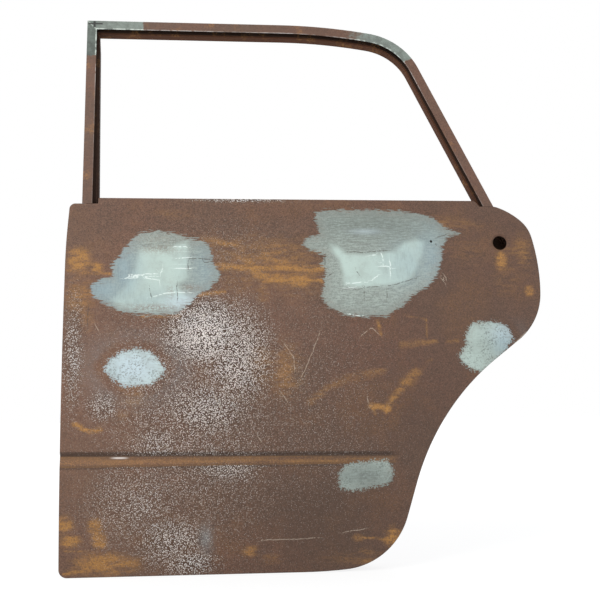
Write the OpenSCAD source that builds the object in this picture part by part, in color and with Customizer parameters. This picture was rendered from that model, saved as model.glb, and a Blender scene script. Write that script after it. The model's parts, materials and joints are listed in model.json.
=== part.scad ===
// Left-hand rear side door of a saloon, stripped to its bare pressings and window frame.
// X runs rearwards, Y runs into the cabin and Z runs up, all in millimetres.
// The shapes are drawn from the skin's front edge, its lowest edge and its outermost point.
// They are then moved so that the origin lies on the hinge face, midway between the two hinges.

/* [Hinge face] */
// Distance of the hinge face behind the skin's front edge.
hinge_face_x = 13; // [8:0.5:20]
// Depth of the hinge bolts from the skin's outermost point.
hinge_y = 50; // [40:1:58]
// Height of the upper hinge.
upper_hinge_z = 560; // [500:5:600]
// Height of the lower hinge.
lower_hinge_z = 150; // [100:5:220]
// Spacing of the hinge bolts across the door.
hinge_bolts_y = 28; // [20:1:34]
// Spacing of the hinge bolts up the door.
hinge_bolts_z = 44; // [30:1:60]
// Radius of a hinge bolt hole.
hinge_hole_r = 4.5; // [3:0.1:6]
// Thickness of a hinge plate.
hinge_plate_t = 3; // [2:0.5:5]
// Width of a hinge plate across the door.
hinge_plate_w = 40; // [36:1:42]
// Height of a hinge plate.
hinge_plate_h = 72; // [56:1:90]

/* [Check strap] */
// Height of the check strap.
strap_z = 430; // [350:5:480]
// Width of the strap's slot.
strap_slot_w = 10; // [6:0.5:16]
// Height of the strap's slot.
strap_slot_h = 28; // [20:1:36]
// Distance of the strap's screws above and below its middle.
strap_screw_z = 24; // [20:0.5:30]
// Radius of a strap screw hole.
strap_hole_r = 3.2; // [2.5:0.1:4]
// Thickness of the strap's plate.
strap_plate_t = 2; // [1:0.5:4]
// Width of the strap's plate across the door.
strap_plate_w = 32; // [24:1:40]
// Height of the strap's plate.
strap_plate_h = 68; // [60:1:90]

/* [Skin outline] */
// Height of the belt line below the window.
belt_z = 705; // [660:1:740]
// Height of the skin's top edge beside the window.
shoulder_z = 693; // [650:1:730]
// Radius of the lower front corner.
foot_r = 15; // [5:1:40]
// Where the straight sill edge ends.
sill_end_x = 446; // [400:1:500]
// Radius that leads the sill edge into the lower rear corner.
heel_lead_r = 879; // [500:10:1500]
// Turn of that leading radius, in degrees.
heel_lead_turn = 5.1; // [2:0.1:10]
// Radius of the lower rear corner.
heel_r = 132; // [90:1:180]
// Turn of the lower rear corner, in degrees.
heel_turn = 68.2; // [50:0.1:80]
// Straight run from that corner to the wheel arch.
arch_lead = 64.7; // [30:0.1:100]
// Radius of the hollow wheel-arch edge.
arch_r = 457; // [380:1:560]
// Turn of the wheel-arch edge, in degrees.
arch_turn = 35.7; // [25:0.1:50]
// Straight run above the wheel-arch edge.
arch_run = 61.2; // [30:0.1:100]
// Radius of the corner above the wheel arch.
hip_r = 123.2; // [80:0.1:180]
// Turn of that corner, in degrees.
hip_turn = 49.3; // [35:0.1:60]
// Radius of the rear edge.
tail_r = 404; // [300:1:600]
// Turn of the rear edge, in degrees.
tail_turn = 16.1; // [8:0.1:25]
// Radius of the rear shoulder.
shoulder_r = 64.6; // [40:0.1:100]
// Turn of the rear shoulder, in degrees.
shoulder_turn = 34.2; // [20:0.1:50]
// Radius that carries the shoulder on towards the window frame.
crown_r = 134; // [90:1:200]
// Turn of that part, in degrees.
crown_turn = 22; // [15:0.5:30]
// Radius that brings the top edge level beside the window frame.
level_r = 45; // [42:1:80]
// Height above which the front edge leans back.
front_lean_z = 578; // [450:1:600]
// Radius that starts the leaning part.
front_lean_r = 1250; // [800:50:2500]
// Turn of that radius, in degrees.
front_lean_turn = 3.2; // [1:0.1:6]
// Straight run from there to the top corner.
front_lean_run = 34.8; // [10:0.1:60]
// Front end of the raised belt edge.
belt_front_x = 57.5; // [50:0.5:70]
// Rear end of the raised belt edge at its top.
belt_rear_x = 793; // [770:1:810]
// How far the foot of the raised belt edge reaches back from its top.
belt_rear_rake = 10; // [0:1:20]

/* [Skin section] */
// Radius of the skin's bulge, seen from the front.
skin_r = 3000; // [2000:50:5000]
// Height of the outermost point of the bulge.
bulge_z = 200; // [100:5:400]
// Thickness of the sheet.
sheet = 0.9; // [0.7:0.05:1.5]
// Depth of the folded edge.
hem_depth = 2.8; // [2.7:0.1:4]
// Width of the folded edge.
hem_w = 10; // [6:0.5:14]

/* [Swage] */
// Height of the swage's upper edge at the front.
swage_top_z = 224; // [215:0.5:235]
// Fall of the upper edge over the swage's length, in degrees.
swage_fall = 0.64; // [0:0.01:1.5]
// Height where the lower slope leaves the skin.
swage_low_z = 196; // [185:0.5:205]
// Rear end of the swage.
swage_end_x = 630; // [580:1:700]
// Steepness of the lower slope, in degrees.
swage_slope = 11.5; // [5:0.5:20]
// Steepness of the upper wall from the level, in degrees.
swage_wall = 50; // [20:1:70]
// Radius of the swage's rounded rear end.
swage_end_r = 9; // [6:0.5:14]

/* [Door handle] */
// Distance of the push-button hole behind the front edge.
button_x = 838.5; // [820:0.5:850]
// Height of the push-button hole.
button_z = 618.6; // [600:0.1:640]
// Radius of the push-button hole.
button_r = 14; // [10:0.5:18]
// Radius of the dished rim round it.
dish_r = 18; // [16:0.5:24]
// Depth of the dished rim.
dish_depth = 2.5; // [1:0.1:4]
// Distance of the handle's front screw hole behind the front edge.
screw_x = 700.9; // [680:0.1:720]
// Height of that screw hole.
screw_z = 620.6; // [600:0.1:640]
// Radius of that screw hole.
screw_r = 2.5; // [2:0.1:4]
// Thickness of the plate behind the handle.
handle_plate_t = 1.2; // [0.8:0.1:2]
// Height of that plate.
handle_plate_h = 52; // [44:1:64]
// Distance of that plate behind the skin's outer face.
handle_stand = 5.2; // [4.5:0.1:8]
// How far that plate reaches past the screw hole.
handle_past_screw = 22; // [14:1:30]
// How far that plate reaches past the push button.
handle_past_button = 24; // [20:1:30]
// Width of the welded foot at each end of that plate.
handle_foot_w = 12; // [8:1:16]

/* [Stiffeners] */
// Height of the middle of the brace behind the skin.
brace_z = 445; // [400:5:480]
// Height of the brace with its flanges.
brace_h = 54; // [40:1:70]
// Height of the brace's raised crown.
brace_crown_h = 26; // [18:1:36]
// Depth of the crown's back from the outer face.
brace_depth = 4.6; // [3.5:0.1:8]
// Distance of the brace's front end behind the front edge.
brace_front_x = 52; // [46:1:80]
// Length of the brace.
brace_len = 590; // [400:10:600]
// Radius of the lightening holes in the brace.
brace_hole_r = 6; // [3:0.5:8]
// Spacing of the lightening holes.
brace_hole_step = 85; // [50:5:120]
// Distance of the belt rail's lower edge below the belt.
belt_rail_low = 60; // [40:1:80]
// Distance of the belt rail's upper edge below the belt.
belt_rail_high = 14; // [13:0.5:20]
// Height of the belt rail's welded flange.
belt_flange_h = 13; // [8:1:18]
// Depth of the belt rail's crown from the outer face.
belt_rail_depth = 6; // [4:0.5:6]

/* [Window frame] */
// Lean of the window frame into the cabin, in degrees.
frame_lean = 9.5; // [5:0.1:14]
// Distance of the front upright's outer edge behind the front edge, at the belt.
upright_x = 27.3; // [15:0.1:40]
// Rake of the front upright towards the front, in degrees.
upright_rake = 0.66; // [0:0.01:3]
// Height of the frame above the belt, along its lean.
frame_h = 382; // [340:1:420]
// Where the header's straight part ends.
header_end_x = 414; // [350:1:480]
// Radius of the header's bent part.
header_r = 1112; // [800:1:1600]
// Turn of the header's bent part, in degrees.
header_turn = 9.5; // [5:0.1:15]
// Outer radius of the rear bend.
bend_r = 131.5; // [100:0.5:180]
// Turn of the rear bend, in degrees.
bend_turn = 56.5; // [45:0.5:65]
// Width of the outer face.
face_w = 19; // [15:0.5:24]
// Depth of the frame across its section.
frame_d = 32; // [26:0.5:38]
// Depth of the glass channel's mouth from the outer face.
channel_d = 14; // [10:0.5:18]
// How far the outer face overhangs the box behind it.
face_over = 5; // [3:0.5:8]
// Width of the section from its outer edge to the inner lip.
section_w = 22.5; // [20:0.5:28]
// How far the front leg runs down into the door.
leg_h = 62; // [30:1:90]
// Length of the rear leg inside the door.
rear_leg_h = 44; // [30:1:60]

/* [Shut faces] */
// Distance of the shut faces inside the skin's edge.
wall_in = 13; // [10:0.5:18]
// Thickness of the front shut face.
pillar_t = 1.2; // [0.9:0.1:2]
// Width of the inner weld flange.
inner_flange = 12; // [8:1:14]
// Where the front shut face gives way to the sill channel.
sill_start_x = 60; // [45:1:90]
// Where the sill channel gives way to the wheel-arch channel.
arch_start_x = 430; // [400:1:445]
// Where the front shut face ends below the window frame.
pillar_top_x = 31.5; // [28:0.5:40]
// Radius of the locating holes at the ends of the front shut face.
pillar_hole_r = 5; // [3:0.5:7]
// Spacing of the drain slots in the sill channel.
drain_step = 130; // [90:5:180]
// Length of a drain slot.
drain_len = 26; // [16:1:36]
// Width of a drain slot.
drain_w = 8; // [5:0.5:12]

/* [Inner panel] */
// Depth of the sealing land from the skin's outermost point.
land_y = 77; // [76:0.5:84]
// Depth of the raised inner face.
inner_y = 88; // [84:0.5:96]
// Width of the sealing land.
land_w = 27; // [20:1:36]
// Radius of the corners of the access apertures.
aperture_r = 22; // [10:1:30]
// Radius of the window-winder hole.
winder_r = 13; // [10:0.5:18]
// Radius of the inner-handle hole.
pull_r = 10; // [8:0.5:14]
// Radius of the trim-clip holes.
clip_r = 3.5; // [2.5:0.1:5]
// Depth of the pressed stiffening beads.
bead_d = 4; // [2:0.5:6]
// Width of the two lowest beads.
low_bead_w = 16; // [12:1:22]
// Width of the other beads.
bead_w = 18; // [12:1:22]
// Distance of the winder and its clips behind the front edge.
winder_x = 430; // [400:5:460]
// Height of the winder.
winder_z = 430; // [405:5:440]
// Distance of the inner handle behind the front edge.
pull_x = 620; // [600:5:640]
// Height of the inner handle.
pull_z = 520; // [510:5:530]
// Distance of each handle clip from the inner handle.
pull_clip_x = 32; // [20:1:40]
// Radius of the armrest's screw holes.
armrest_r = 4.5; // [3:0.1:6]
// Height of the armrest's screw holes.
armrest_z = 500; // [490:5:520]

/* [Lock] */
// Height of the lock.
lock_z = 545; // [530:1:560]
// Spacing of the lock screws across the door.
lock_bolts_y = 28; // [26:1:40]
// Spacing of the lock screws up the door.
lock_bolts_z = 58; // [40:1:64]
// Radius of a lock screw hole.
lock_hole_r = 3.2; // [2.5:0.1:4]
// Thickness of the lock plate.
lock_plate_t = 2.5; // [1.5:0.5:4]
// Width of the latch opening across the door.
latch_w = 22; // [16:1:24]
// Height of the latch opening.
latch_h = 40; // [30:1:50]
// Height of the link hole below the lock.
link_z = 480; // [465:5:490]
// Radius of the link hole.
link_r = 6; // [4:0.5:8]

/* [Glass guides] */
// Radial width of a guide channel.
guide_w = 12; // [9:0.5:14]
// Depth of a guide channel along the door.
guide_d = 13; // [9:0.5:16]
// Distance of the front guide's back behind the front edge.
front_guide_x = 33; // [31:0.5:40]
// Height of the lower end of the guides.
guide_low_z = 310; // [280:5:360]
// Distance of the rear guide's back behind the front edge.
rear_guide_x = 668; // [640:1:690]
// Thickness of the guide brackets.
bracket_t = 1.5; // [1:0.1:2.5]
// Height of the front bracket's lower edge.
front_bracket_z = 330; // [320:5:380]
// Height of the rear bracket's lower edge.
rear_bracket_z = 335; // [330:5:380]
// Height and foot width of the rear bracket.
rear_bracket_w = 26; // [18:1:34]
// Width and upstand of the front bracket.
front_bracket_w = 22; // [16:1:28]

/* [Hidden] */
$fn = 96;
// A small overlap that keeps cuts and joins clean.
eps = 0.1;
// Gap left between sheets that are only spot-welded or folded together.
lap = 0.1;
origin_z = (upper_hinge_z + lower_hinge_z) / 2;
// Length that runs past the whole door along X.
past_x = 950;
// Depth of the skin's outer face at the belt.
belt_y = skin_r - sqrt(skin_r * skin_r - (belt_z - bulge_z) * (belt_z - bulge_z));
bend_lean = header_turn + bend_turn;
// Angles that the bulged layers reach above and below the bulge, in degrees.
bulge_up = 10.5;
bulge_down = 4.5;
front_corner_turn = 90 - front_lean_turn;

// The outline is a path that runs round the door with the door on its left.
function arc_end(p, h, r, t) = t > 0
    ? p + r * [sin(h + t) - sin(h), cos(h) - cos(h + t)]
    : p + r * [sin(h) - sin(h + t), cos(h + t) - cos(h)];
function run_end(p, h, l) = p + l * [cos(h), sin(h)];
// Point moved into the door at right angles to the path.
function inward(p, h, d) = p + d * [-sin(h), cos(h)];
// Points of one bend, moved a distance into the door; a bend smaller than that becomes one corner.
function bend(p, h, r, t, d, steps) =
    let (s = sign(t), c = p + s * r * [-sin(h), cos(h)], rd = s * (r - s * d))
    abs(rd) < 2 || rd * s < 0
    ? [c + rd / cos(t / 2) * [sin(h + t / 2), -cos(h + t / 2)]]
    : [for (i = [0 : steps]) c + rd * [sin(h + t * i / steps), -cos(h + t * i / steps)]];

// Directions of the path after each bend of the outline.
h1 = heel_lead_turn;
h2 = h1 + heel_turn;
h3 = h2 - arch_turn;
h4 = h3 + hip_turn;
h5 = h4 + tail_turn;
h6 = h5 + shoulder_turn;
h7 = 180;
h8 = 270 - front_lean_turn;

// Points of the outline where one bend or straight meets the next.
p0 = [sill_end_x, 0];
p1 = arc_end(p0, 0, heel_lead_r, heel_lead_turn);
p2 = arc_end(p1, h1, heel_r, heel_turn);
p3 = run_end(p2, h2, arch_lead);
p4 = arc_end(p3, h2, arch_r, -arch_turn);
p5 = run_end(p4, h3, arch_run);
p6 = arc_end(p5, h3, hip_r, hip_turn);
p7 = arc_end(p6, h4, tail_r, tail_turn);
p8 = arc_end(p7, h5, shoulder_r, shoulder_turn);
p9 = arc_end(p8, h6, crown_r, crown_turn);
p12 = [0, front_lean_z];
lean_top = p12 - arc_end([0, 0], h8, front_lean_r, front_lean_turn);
p11 = run_end(lean_top, h8, -front_lean_run);
front_top_r = (shoulder_z - p11[1]) / (1 - sin(front_lean_turn));
p10 = p11 - arc_end([0, 0], h7, front_top_r, front_corner_turn);
p13 = [0, foot_r];
p14 = [foot_r, 0];

// Where the header starts, above the raked front upright.
corner_x = upright_x - frame_h * tan(upright_rake);
// Height along the frame's lean where its outer faces meet the skin.
face_foot = (shoulder_z - belt_z) / cos(frame_lean) + 0.4;
// Centre and end of the frame's rear bend in its own plane.
bend_c = [
    header_end_x + (header_r - bend_r) * sin(header_turn),
    frame_h - header_r + (header_r - bend_r) * cos(header_turn)
];
bend_end = bend_c + bend_r * [sin(bend_lean), cos(bend_lean)];
// Where the wheel-arch channel gives way to the lock pillar.
arch_stop = p4 + (p5 - p4) * 0.4;
lock_start = run_end(arch_stop, h3, lap);
// Depth of the skin's outer face at a height.
function skin_y(z) = skin_r - sqrt(skin_r * skin_r - (z - bulge_z) * (z - bulge_z));
function skin_tilt(z) = asin((z - bulge_z) / skin_r);

// Moves a piece from the drawing's corner to the hinge-face origin.
module placed() {
    translate([-hinge_face_x, -hinge_y, -origin_z])
        children();
}

// Turns a flat X-Z drawing into a slab between two depths.
module along_y(y0, y1) {
    translate([0, y1, 0])
        rotate([90, 0, 0])
            linear_extrude(y1 - y0)
                children();
}

// Turns a flat Y-Z drawing into a bar along X.
module along_x(x0, x1) {
    translate([x0, 0, 0])
        rotate([90, 0, 90])
            linear_extrude(x1 - x0)
                children();
}

// Bulged layer between two depths below the outer face, from a little below the sill to above the belt.
module layer(depth0, depth1, x0 = -20, x1 = past_x) {
    translate([x0, skin_r, bulge_z])
        rotate([0, 90, 0])
            rotate([0, 0, -90 - bulge_up])
                rotate_extrude(angle = bulge_up + bulge_down, $fn = 256)
                    translate([skin_r - depth1, 0])
                        square([depth1 - depth0, x1 - x0]);
}

// Everything on the cabin side of the bulged surface at a depth below the outer face.
module barrel(depth) {
    layer(depth, 150);
}

// Bends of the outline in order, drawn a distance inside the edge.
function bends(d) = [
    bend(p0, 0, heel_lead_r, heel_lead_turn, d, 3),
    bend(p1, h1, heel_r, heel_turn, d, 18),
    bend(p3, h2, arch_r, -arch_turn, d, 16),
    bend(p5, h3, hip_r, hip_turn, d, 14),
    bend(p6, h4, tail_r, tail_turn, d, 8),
    bend(p7, h5, shoulder_r, shoulder_turn, d, 8),
    bend(p8, h6, crown_r, crown_turn, d, 9),
    bend(p9, h6 + crown_turn, level_r, 180 - h6 - crown_turn, d, 5),
    bend(p10, h7, front_top_r, front_corner_turn, d, 8),
    bend(lean_top, h8, front_lean_r, front_lean_turn, d, 4),
    bend(p13, 270, foot_r, 90, d, 8)
];
function part_path(d, first, last) = let (all = bends(d)) [for (i = [first : last]) each all[i]];
function backwards(path) = [for (i = [len(path) - 1 : -1 : 0]) path[i]];

// The skin's outline without its raised belt edge.
module body_outline(d) {
    polygon(part_path(d, 0, 10));
}

// The whole skin outline with its raised belt edge.
module skin_outline(d) {
    union() {
        body_outline(d);
        polygon([
            [belt_front_x + d, shoulder_z - 40],
            [belt_rear_x + belt_rear_rake * 4 - d, shoulder_z - 40],
            [belt_rear_x + belt_rear_rake - d, shoulder_z - d],
            [belt_rear_x - d, belt_z - d],
            [belt_front_x + d, belt_z - d]
        ]);
    }
}

// Hollow of the pressed swage, grown by a distance.
module swage(grow) {
    low_y = skin_y(swage_low_z);
    intersection() {
        along_x(-10, swage_end_x + 20)
            polygon([
                [-8, swage_low_z - 10],
                [low_y - 10 * tan(swage_slope) + grow, swage_low_z - 10],
                [low_y + 40 * tan(swage_slope) + grow, swage_low_z + 40],
                [-8, swage_low_z + 40]
            ]);
        translate([0, 0, swage_top_z + grow])
            rotate([0, swage_fall, 0])
                along_x(-10, swage_end_x + 20)
                    polygon([
                        [-8, -60],
                        [20, -60],
                        [20, -20 * tan(swage_wall)],
                        [-8, 8 * tan(swage_wall)]
                    ]);
        along_y(-7, 20)
            union() {
                translate([-9, swage_low_z - 6])
                    square([swage_end_x + 9 - swage_end_r, 60]);
                translate([swage_end_x - swage_end_r, swage_low_z + swage_end_r + 2])
                    circle(swage_end_r + grow);
                translate([swage_end_x - swage_end_r - 4, swage_low_z + swage_end_r + 2 - swage_end_r])
                    square([4, 2 * swage_end_r]);
            }
    }
}

// Frame of reference on the skin, with Y pointing square into the door.
module on_skin(x, z) {
    translate([x, skin_y(z), z])
        rotate([-skin_tilt(z), 0, 0])
            children();
}

// Cylinder that runs along Y.
module drill(r, y0, y1) {
    translate([0, y0, 0])
        rotate([-90, 0, 0])
            cylinder(r = r, h = y1 - y0);
}

// Dished rim of the push-button hole, grown by a distance.
module dish(grow) {
    on_skin(button_x, button_z)
        translate([0, -2, 0])
            rotate([-90, 0, 0])
                cylinder(
                    r1 = dish_r + grow + 2 * (dish_r - button_r) / dish_depth,
                    r2 = button_r + grow,
                    h = dish_depth + grow + 2
                );
}

module outer_skin() {
    color("#745a4c")
    placed()
        difference() {
            union() {
                difference() {
                    intersection() {
                        barrel(0);
                        along_y(-2, 60)
                            skin_outline(0);
                    }
                    swage(0);
                    dish(0);
                    difference() {
                        barrel(sheet);
                        swage(sheet);
                        dish(sheet);
                    }
                }
                difference() {
                    intersection() {
                        layer(sheet - 0.05, hem_depth);
                        along_y(-2, 60)
                            skin_outline(0);
                    }
                    intersection() {
                        layer(sheet - 1, hem_depth - sheet);
                        along_y(-2, 60)
                            skin_outline(sheet);
                    }
                    along_y(-2, 60)
                        skin_outline(hem_w);
                    translate([-5, -5, swage_low_z - 6])
                        cube([hem_w + 10, 20, 40]);
                }
            }
            on_skin(button_x, button_z)
                drill(button_r, -5, 12);
            on_skin(screw_x, screw_z)
                drill(screw_r, -5, 12);
        }
}

// Bulged layer between two depths and two heights, over a length of the belt.
module belt_strip(depth0, depth1, low, high) {
    x0 = belt_front_x + 3;
    intersection() {
        layer(depth0, depth1);
        translate([x0, 0, low])
            cube([belt_rear_x - 14 - x0, 60, high - low]);
    }
}

module belt_outer_rail() {
    low = belt_z - belt_rail_low;
    high = belt_z - belt_rail_high;
    step = low + belt_flange_h - 1;
    color("#685141")
    placed()
        union() {
            belt_strip(sheet + lap, sheet * 2 + lap, low, low + belt_flange_h);
            belt_strip(sheet + lap, belt_rail_depth, step, step + sheet);
            belt_strip(belt_rail_depth - sheet, belt_rail_depth, step, high);
            belt_strip(hem_depth + lap, belt_rail_depth, high - sheet, high);
        }
}

module skin_brace() {
    low = brace_z - brace_h / 2;
    crown_low = brace_z - brace_crown_h / 2;
    color("#5e4d42")
    placed()
        difference() {
            union() {
                intersection() {
                    layer(sheet + lap, sheet * 2 + lap);
                    translate([brace_front_x, 0, low])
                        cube([brace_len, 60, brace_h]);
                }
                intersection() {
                    layer(sheet + lap, brace_depth);
                    translate([brace_front_x, 0, crown_low])
                        cube([brace_len, 60, brace_crown_h]);
                }
            }
            intersection() {
                layer(sheet, brace_depth - sheet);
                translate([brace_front_x - 2, 0, crown_low + sheet])
                    cube([brace_len + 10, 60, brace_crown_h - 2 * sheet]);
            }
            for (x = [brace_front_x + 38 : brace_hole_step : brace_front_x + brace_len - 42])
                translate([x, 0, brace_z])
                    drill(brace_hole_r, 0, 60);
        }
}

module handle_plate() {
    x0 = screw_x - button_x - handle_past_screw;
    x1 = handle_past_button;
    low = -handle_plate_h / 2;
    foot_y = sheet + 0.3;
    color("#5e4d42")
    placed()
        on_skin(button_x, button_z)
            difference() {
                union() {
                    translate([x0, handle_stand, low])
                        cube([x1 - x0, handle_plate_t, handle_plate_h]);
                    translate([x0 - handle_foot_w, foot_y, low])
                        cube([handle_foot_w + handle_plate_t, handle_plate_t, handle_plate_h]);
                    translate([x0, foot_y, low])
                        cube([handle_plate_t, handle_stand, handle_plate_h]);
                    translate([x1 - handle_plate_t, foot_y, low])
                        cube([handle_foot_w + handle_plate_t, handle_plate_t, handle_plate_h]);
                    translate([x1 - handle_plate_t, foot_y, low])
                        cube([handle_plate_t, handle_stand, handle_plate_h]);
                }
                drill(button_r + 1.5, 0, 12);
                translate([screw_x - button_x, 0, screw_z - button_z])
                    drill(screw_r + 0.8, 0, 12);
            }
}

// Frame of reference in the window frame's outer plane, with Z along its lean.
module on_frame() {
    translate([0, belt_y, belt_z])
        rotate([-frame_lean, 0, 0])
            children();
}

// Section of the frame: X from the outer edge towards the window, Y into the cabin.
module frame_section() {
    difference() {
        polygon([
            [0, 0],
            [face_w, 0],
            [face_w, 1],
            [face_over + 1, 1],
            [face_over + 1, channel_d],
            [section_w, channel_d],
            [section_w, frame_d],
            [face_over, frame_d],
            [face_over, 1],
            [0, 1]
        ]);
        translate([face_over + 1, channel_d + 1])
            square([section_w - face_over - 2, frame_d - channel_d - 2]);
    }
}

// The same section without its outer face, for the legs inside the door.
module leg_section() {
    intersection() {
        frame_section();
        translate([face_over, 1 + eps])
            square([section_w, frame_d]);
    }
}

// Half-space that cuts the mitre between the front upright and the header.
module mitre(side) {
    translate([corner_x, 0, frame_h])
        rotate([0, 45, 0])
            translate([-60, -20, side < 0 ? -60 : 0])
                cube([120, 80, 60]);
}

module frame_front_upright() {
    color("#6f5b50")
    placed()
        on_frame()
            difference() {
                translate([upright_x, 0, 0])
                    rotate([0, -upright_rake, 0])
                        union() {
                            translate([0, 0, face_foot])
                                linear_extrude(frame_h - face_foot + 4)
                                    frame_section();
                            translate([0, 0, -leg_h])
                                linear_extrude(leg_h + face_foot + eps)
                                    leg_section();
                        }
                mitre(1);
            }
}

module frame_header() {
    color("#6f5b50")
    placed()
        on_frame()
            union() {
                difference() {
                    translate([corner_x, 0, frame_h])
                        rotate([0, 90, 0])
                            linear_extrude(header_end_x - corner_x)
                                frame_section();
                    mitre(-1);
                }
                translate([header_end_x, 0, frame_h - header_r])
                    rotate([-90, 0, 0])
                        rotate([0, 0, -90])
                            rotate_extrude(angle = header_turn, $fn = 256)
                                translate([header_r, 0])
                                    mirror([1, 0])
                                        frame_section();
            }
}

module frame_rear_corner() {
    color("#666258")
    placed()
        on_frame()
            translate([bend_c[0], 0, bend_c[1]])
                rotate([-90, 0, 0])
                    rotate([0, 0, header_turn - 90])
                        rotate_extrude(angle = bend_turn)
                            translate([bend_r, 0])
                                mirror([1, 0])
                                    frame_section();
}

module frame_rear_upright() {
    run = (bend_end[1] - face_foot) / sin(bend_lean);
    color("#6f5b50")
    placed()
        on_frame()
            translate([bend_end[0], 0, bend_end[1]])
                rotate([0, 90 + bend_lean, 0])
                    union() {
                        linear_extrude(run)
                            frame_section();
                        translate([0, 0, run - eps])
                            linear_extrude(rear_leg_h)
                                leg_section();
                    }
}

// Strip between two distances inside the outline, over one stretch of it.
function front_side(d) = concat([[pillar_top_x, shoulder_z - d]], part_path(d, 8, 10), [[sill_start_x, d]]);
function sill_side(d) = [[sill_start_x + lap, d], [arch_start_x - lap, d]];
function arch_side(d) = concat([[arch_start_x, d]], part_path(d, 0, 2), [inward(arch_stop, h3, d)]);
function lock_side(d) = concat([inward(lock_start, h3, d)], part_path(d, 3, 6));
module strip(outer, inner) {
    polygon(concat(outer, backwards(inner)));
}

// Channel between the skin's folded edge and the inner panel: a wall with a flange along each side.
module shut_channel(edge, wall_out, wall_back, flange_back) {
    union() {
        intersection() {
            barrel(sheet + lap / 2);
            along_y(-2, land_y - sheet - lap / 2)
                strip(wall_out, wall_back);
        }
        intersection() {
            layer(sheet + lap / 2, 2 * sheet + lap / 2);
            along_y(-2, 60)
                strip(edge, wall_back);
        }
        along_y(land_y - 2 * sheet, land_y - sheet - lap / 2)
            strip(wall_out, flange_back);
    }
}

// Notch that lets the swage run out through a shut face.
module swage_notch() {
    translate([-5, -5, swage_low_z - 6])
        cube([60, 16, 40]);
}

// Cylinder that runs along X.
module drill_x(r, x0, x1) {
    translate([x0, 0, 0])
        rotate([0, 90, 0])
            cylinder(r = r, h = x1 - x0);
}

// Four holes along X at the corners of a rectangle.
module four_holes_x(y, z, dy, dz, r, x0, x1) {
    for (i = [-1, 1])
        for (j = [-1, 1])
            translate([0, y + i * dy / 2, z + j * dz / 2])
                drill_x(r, x0, x1);
}

module hinge_holes(z) {
    four_holes_x(hinge_y, z, hinge_bolts_y, hinge_bolts_z, hinge_hole_r, 5, 30);
}

// Slot and screw holes of the check strap.
module strap_cut() {
    translate([5, hinge_y - strap_slot_w / 2, strap_z - strap_slot_h / 2])
        cube([25, strap_slot_w, strap_slot_h]);
    for (j = [-1, 1])
        translate([0, hinge_y, strap_z + j * strap_screw_z])
            drill_x(strap_hole_r, 5, 30);
}

module hinge_pillar() {
    color("#5a4639")
    placed()
        difference() {
            shut_channel(
                front_side(sheet + lap),
                front_side(wall_in),
                front_side(wall_in + pillar_t),
                front_side(wall_in + inner_flange)
            );
            swage_notch();
            hinge_holes(upper_hinge_z);
            hinge_holes(lower_hinge_z);
            strap_cut();
            for (z = [70, 640])
                translate([0, 60, z])
                    drill_x(pillar_hole_r, 5, 28);
        }
}

module bottom_rail() {
    color("#5a4639")
    placed()
        difference() {
            shut_channel(
                sill_side(sheet + lap),
                sill_side(wall_in),
                sill_side(wall_in + sheet),
                sill_side(wall_in + inner_flange)
            );
            for (x = [drain_step : drain_step : 400])
                translate([x, 30, 5])
                    cube([drain_len, drain_w, 20]);
        }
}

module wheel_arch_rail() {
    color("#5a4639")
    placed()
        shut_channel(
            arch_side(sheet + lap),
            arch_side(wall_in),
            arch_side(wall_in + sheet),
            arch_side(wall_in + inner_flange)
        );
}

module lock_pillar() {
    color("#5a4639")
    placed()
        difference() {
            shut_channel(
                lock_side(sheet + lap),
                lock_side(wall_in),
                lock_side(wall_in + sheet),
                lock_side(wall_in + inner_flange)
            );
            four_holes_x(hinge_y, lock_z, lock_bolts_y, lock_bolts_z, lock_hole_r, 880, 930);
            translate([880, hinge_y - latch_w / 2, lock_z - latch_h / 2])
                cube([50, latch_w, latch_h]);
            translate([0, hinge_y, link_z])
                drill_x(link_r, 860, 930);
        }
}

module hinge_plate(z) {
    difference() {
        translate([hinge_face_x + pillar_t + lap, hinge_y - hinge_plate_w / 2, z - hinge_plate_h / 2])
            cube([hinge_plate_t, hinge_plate_w, hinge_plate_h]);
        hinge_holes(z);
    }
}

module hinge_plate_upper() {
    color("#4d4038")
    placed()
        hinge_plate(upper_hinge_z);
}

module hinge_plate_lower() {
    color("#4d4038")
    placed()
        hinge_plate(lower_hinge_z);
}

module check_strap_plate() {
    color("#4d4038")
    placed()
        difference() {
            translate([
                hinge_face_x + pillar_t + lap,
                hinge_y - strap_plate_w / 2,
                strap_z - strap_plate_h / 2
            ])
                cube([strap_plate_t, strap_plate_w, strap_plate_h]);
            strap_cut();
        }
}

module lock_plate() {
    color("#4d4038")
    placed()
        difference() {
            translate([p6[0] - wall_in - 2.6 - lock_plate_t, 29.5, lock_z - 38])
                cube([lock_plate_t, 42, 76]);
            four_holes_x(hinge_y, lock_z, lock_bolts_y, lock_bolts_z, lock_hole_r, 880, 930);
            translate([880, hinge_y - latch_w / 2 - 1, lock_z - latch_h / 2 - 1])
                cube([50, latch_w + 2, latch_h + 2]);
        }
}

function unit(v) = v / norm(v);
// Points of a counter-clockwise path with every corner rounded.
function corner(a, b, c, r) =
    let (
        u = unit(a - b),
        v = unit(c - b),
        half = acos(u * v) / 2,
        m = b + unit(u + v) * r / sin(half),
        s = b + u * r / tan(half) - m,
        t0 = atan2(s[1], s[0])
    )
    [for (i = [0 : 6]) m + r * [cos(t0 + (180 - 2 * half) * i / 6), sin(t0 + (180 - 2 * half) * i / 6)]];
function rounded(path, r) =
    let (n = len(path))
    [for (i = [0 : n - 1]) each corner(path[(i + n - 1) % n], path[i], path[(i + 1) % n], r)];

// Access apertures of the inner panel.
front_aperture = [[95, 105], [335, 105], [335, 330], [95, 330]];
rear_aperture = [[395, 110], [545, 110], [602, 200], [640, 330], [395, 330]];
upper_aperture = [[95, 545], [300, 545], [300, 620], [95, 620]];
lock_aperture = [[725, 470], [835, 470], [835, 600], [725, 600]];

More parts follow.
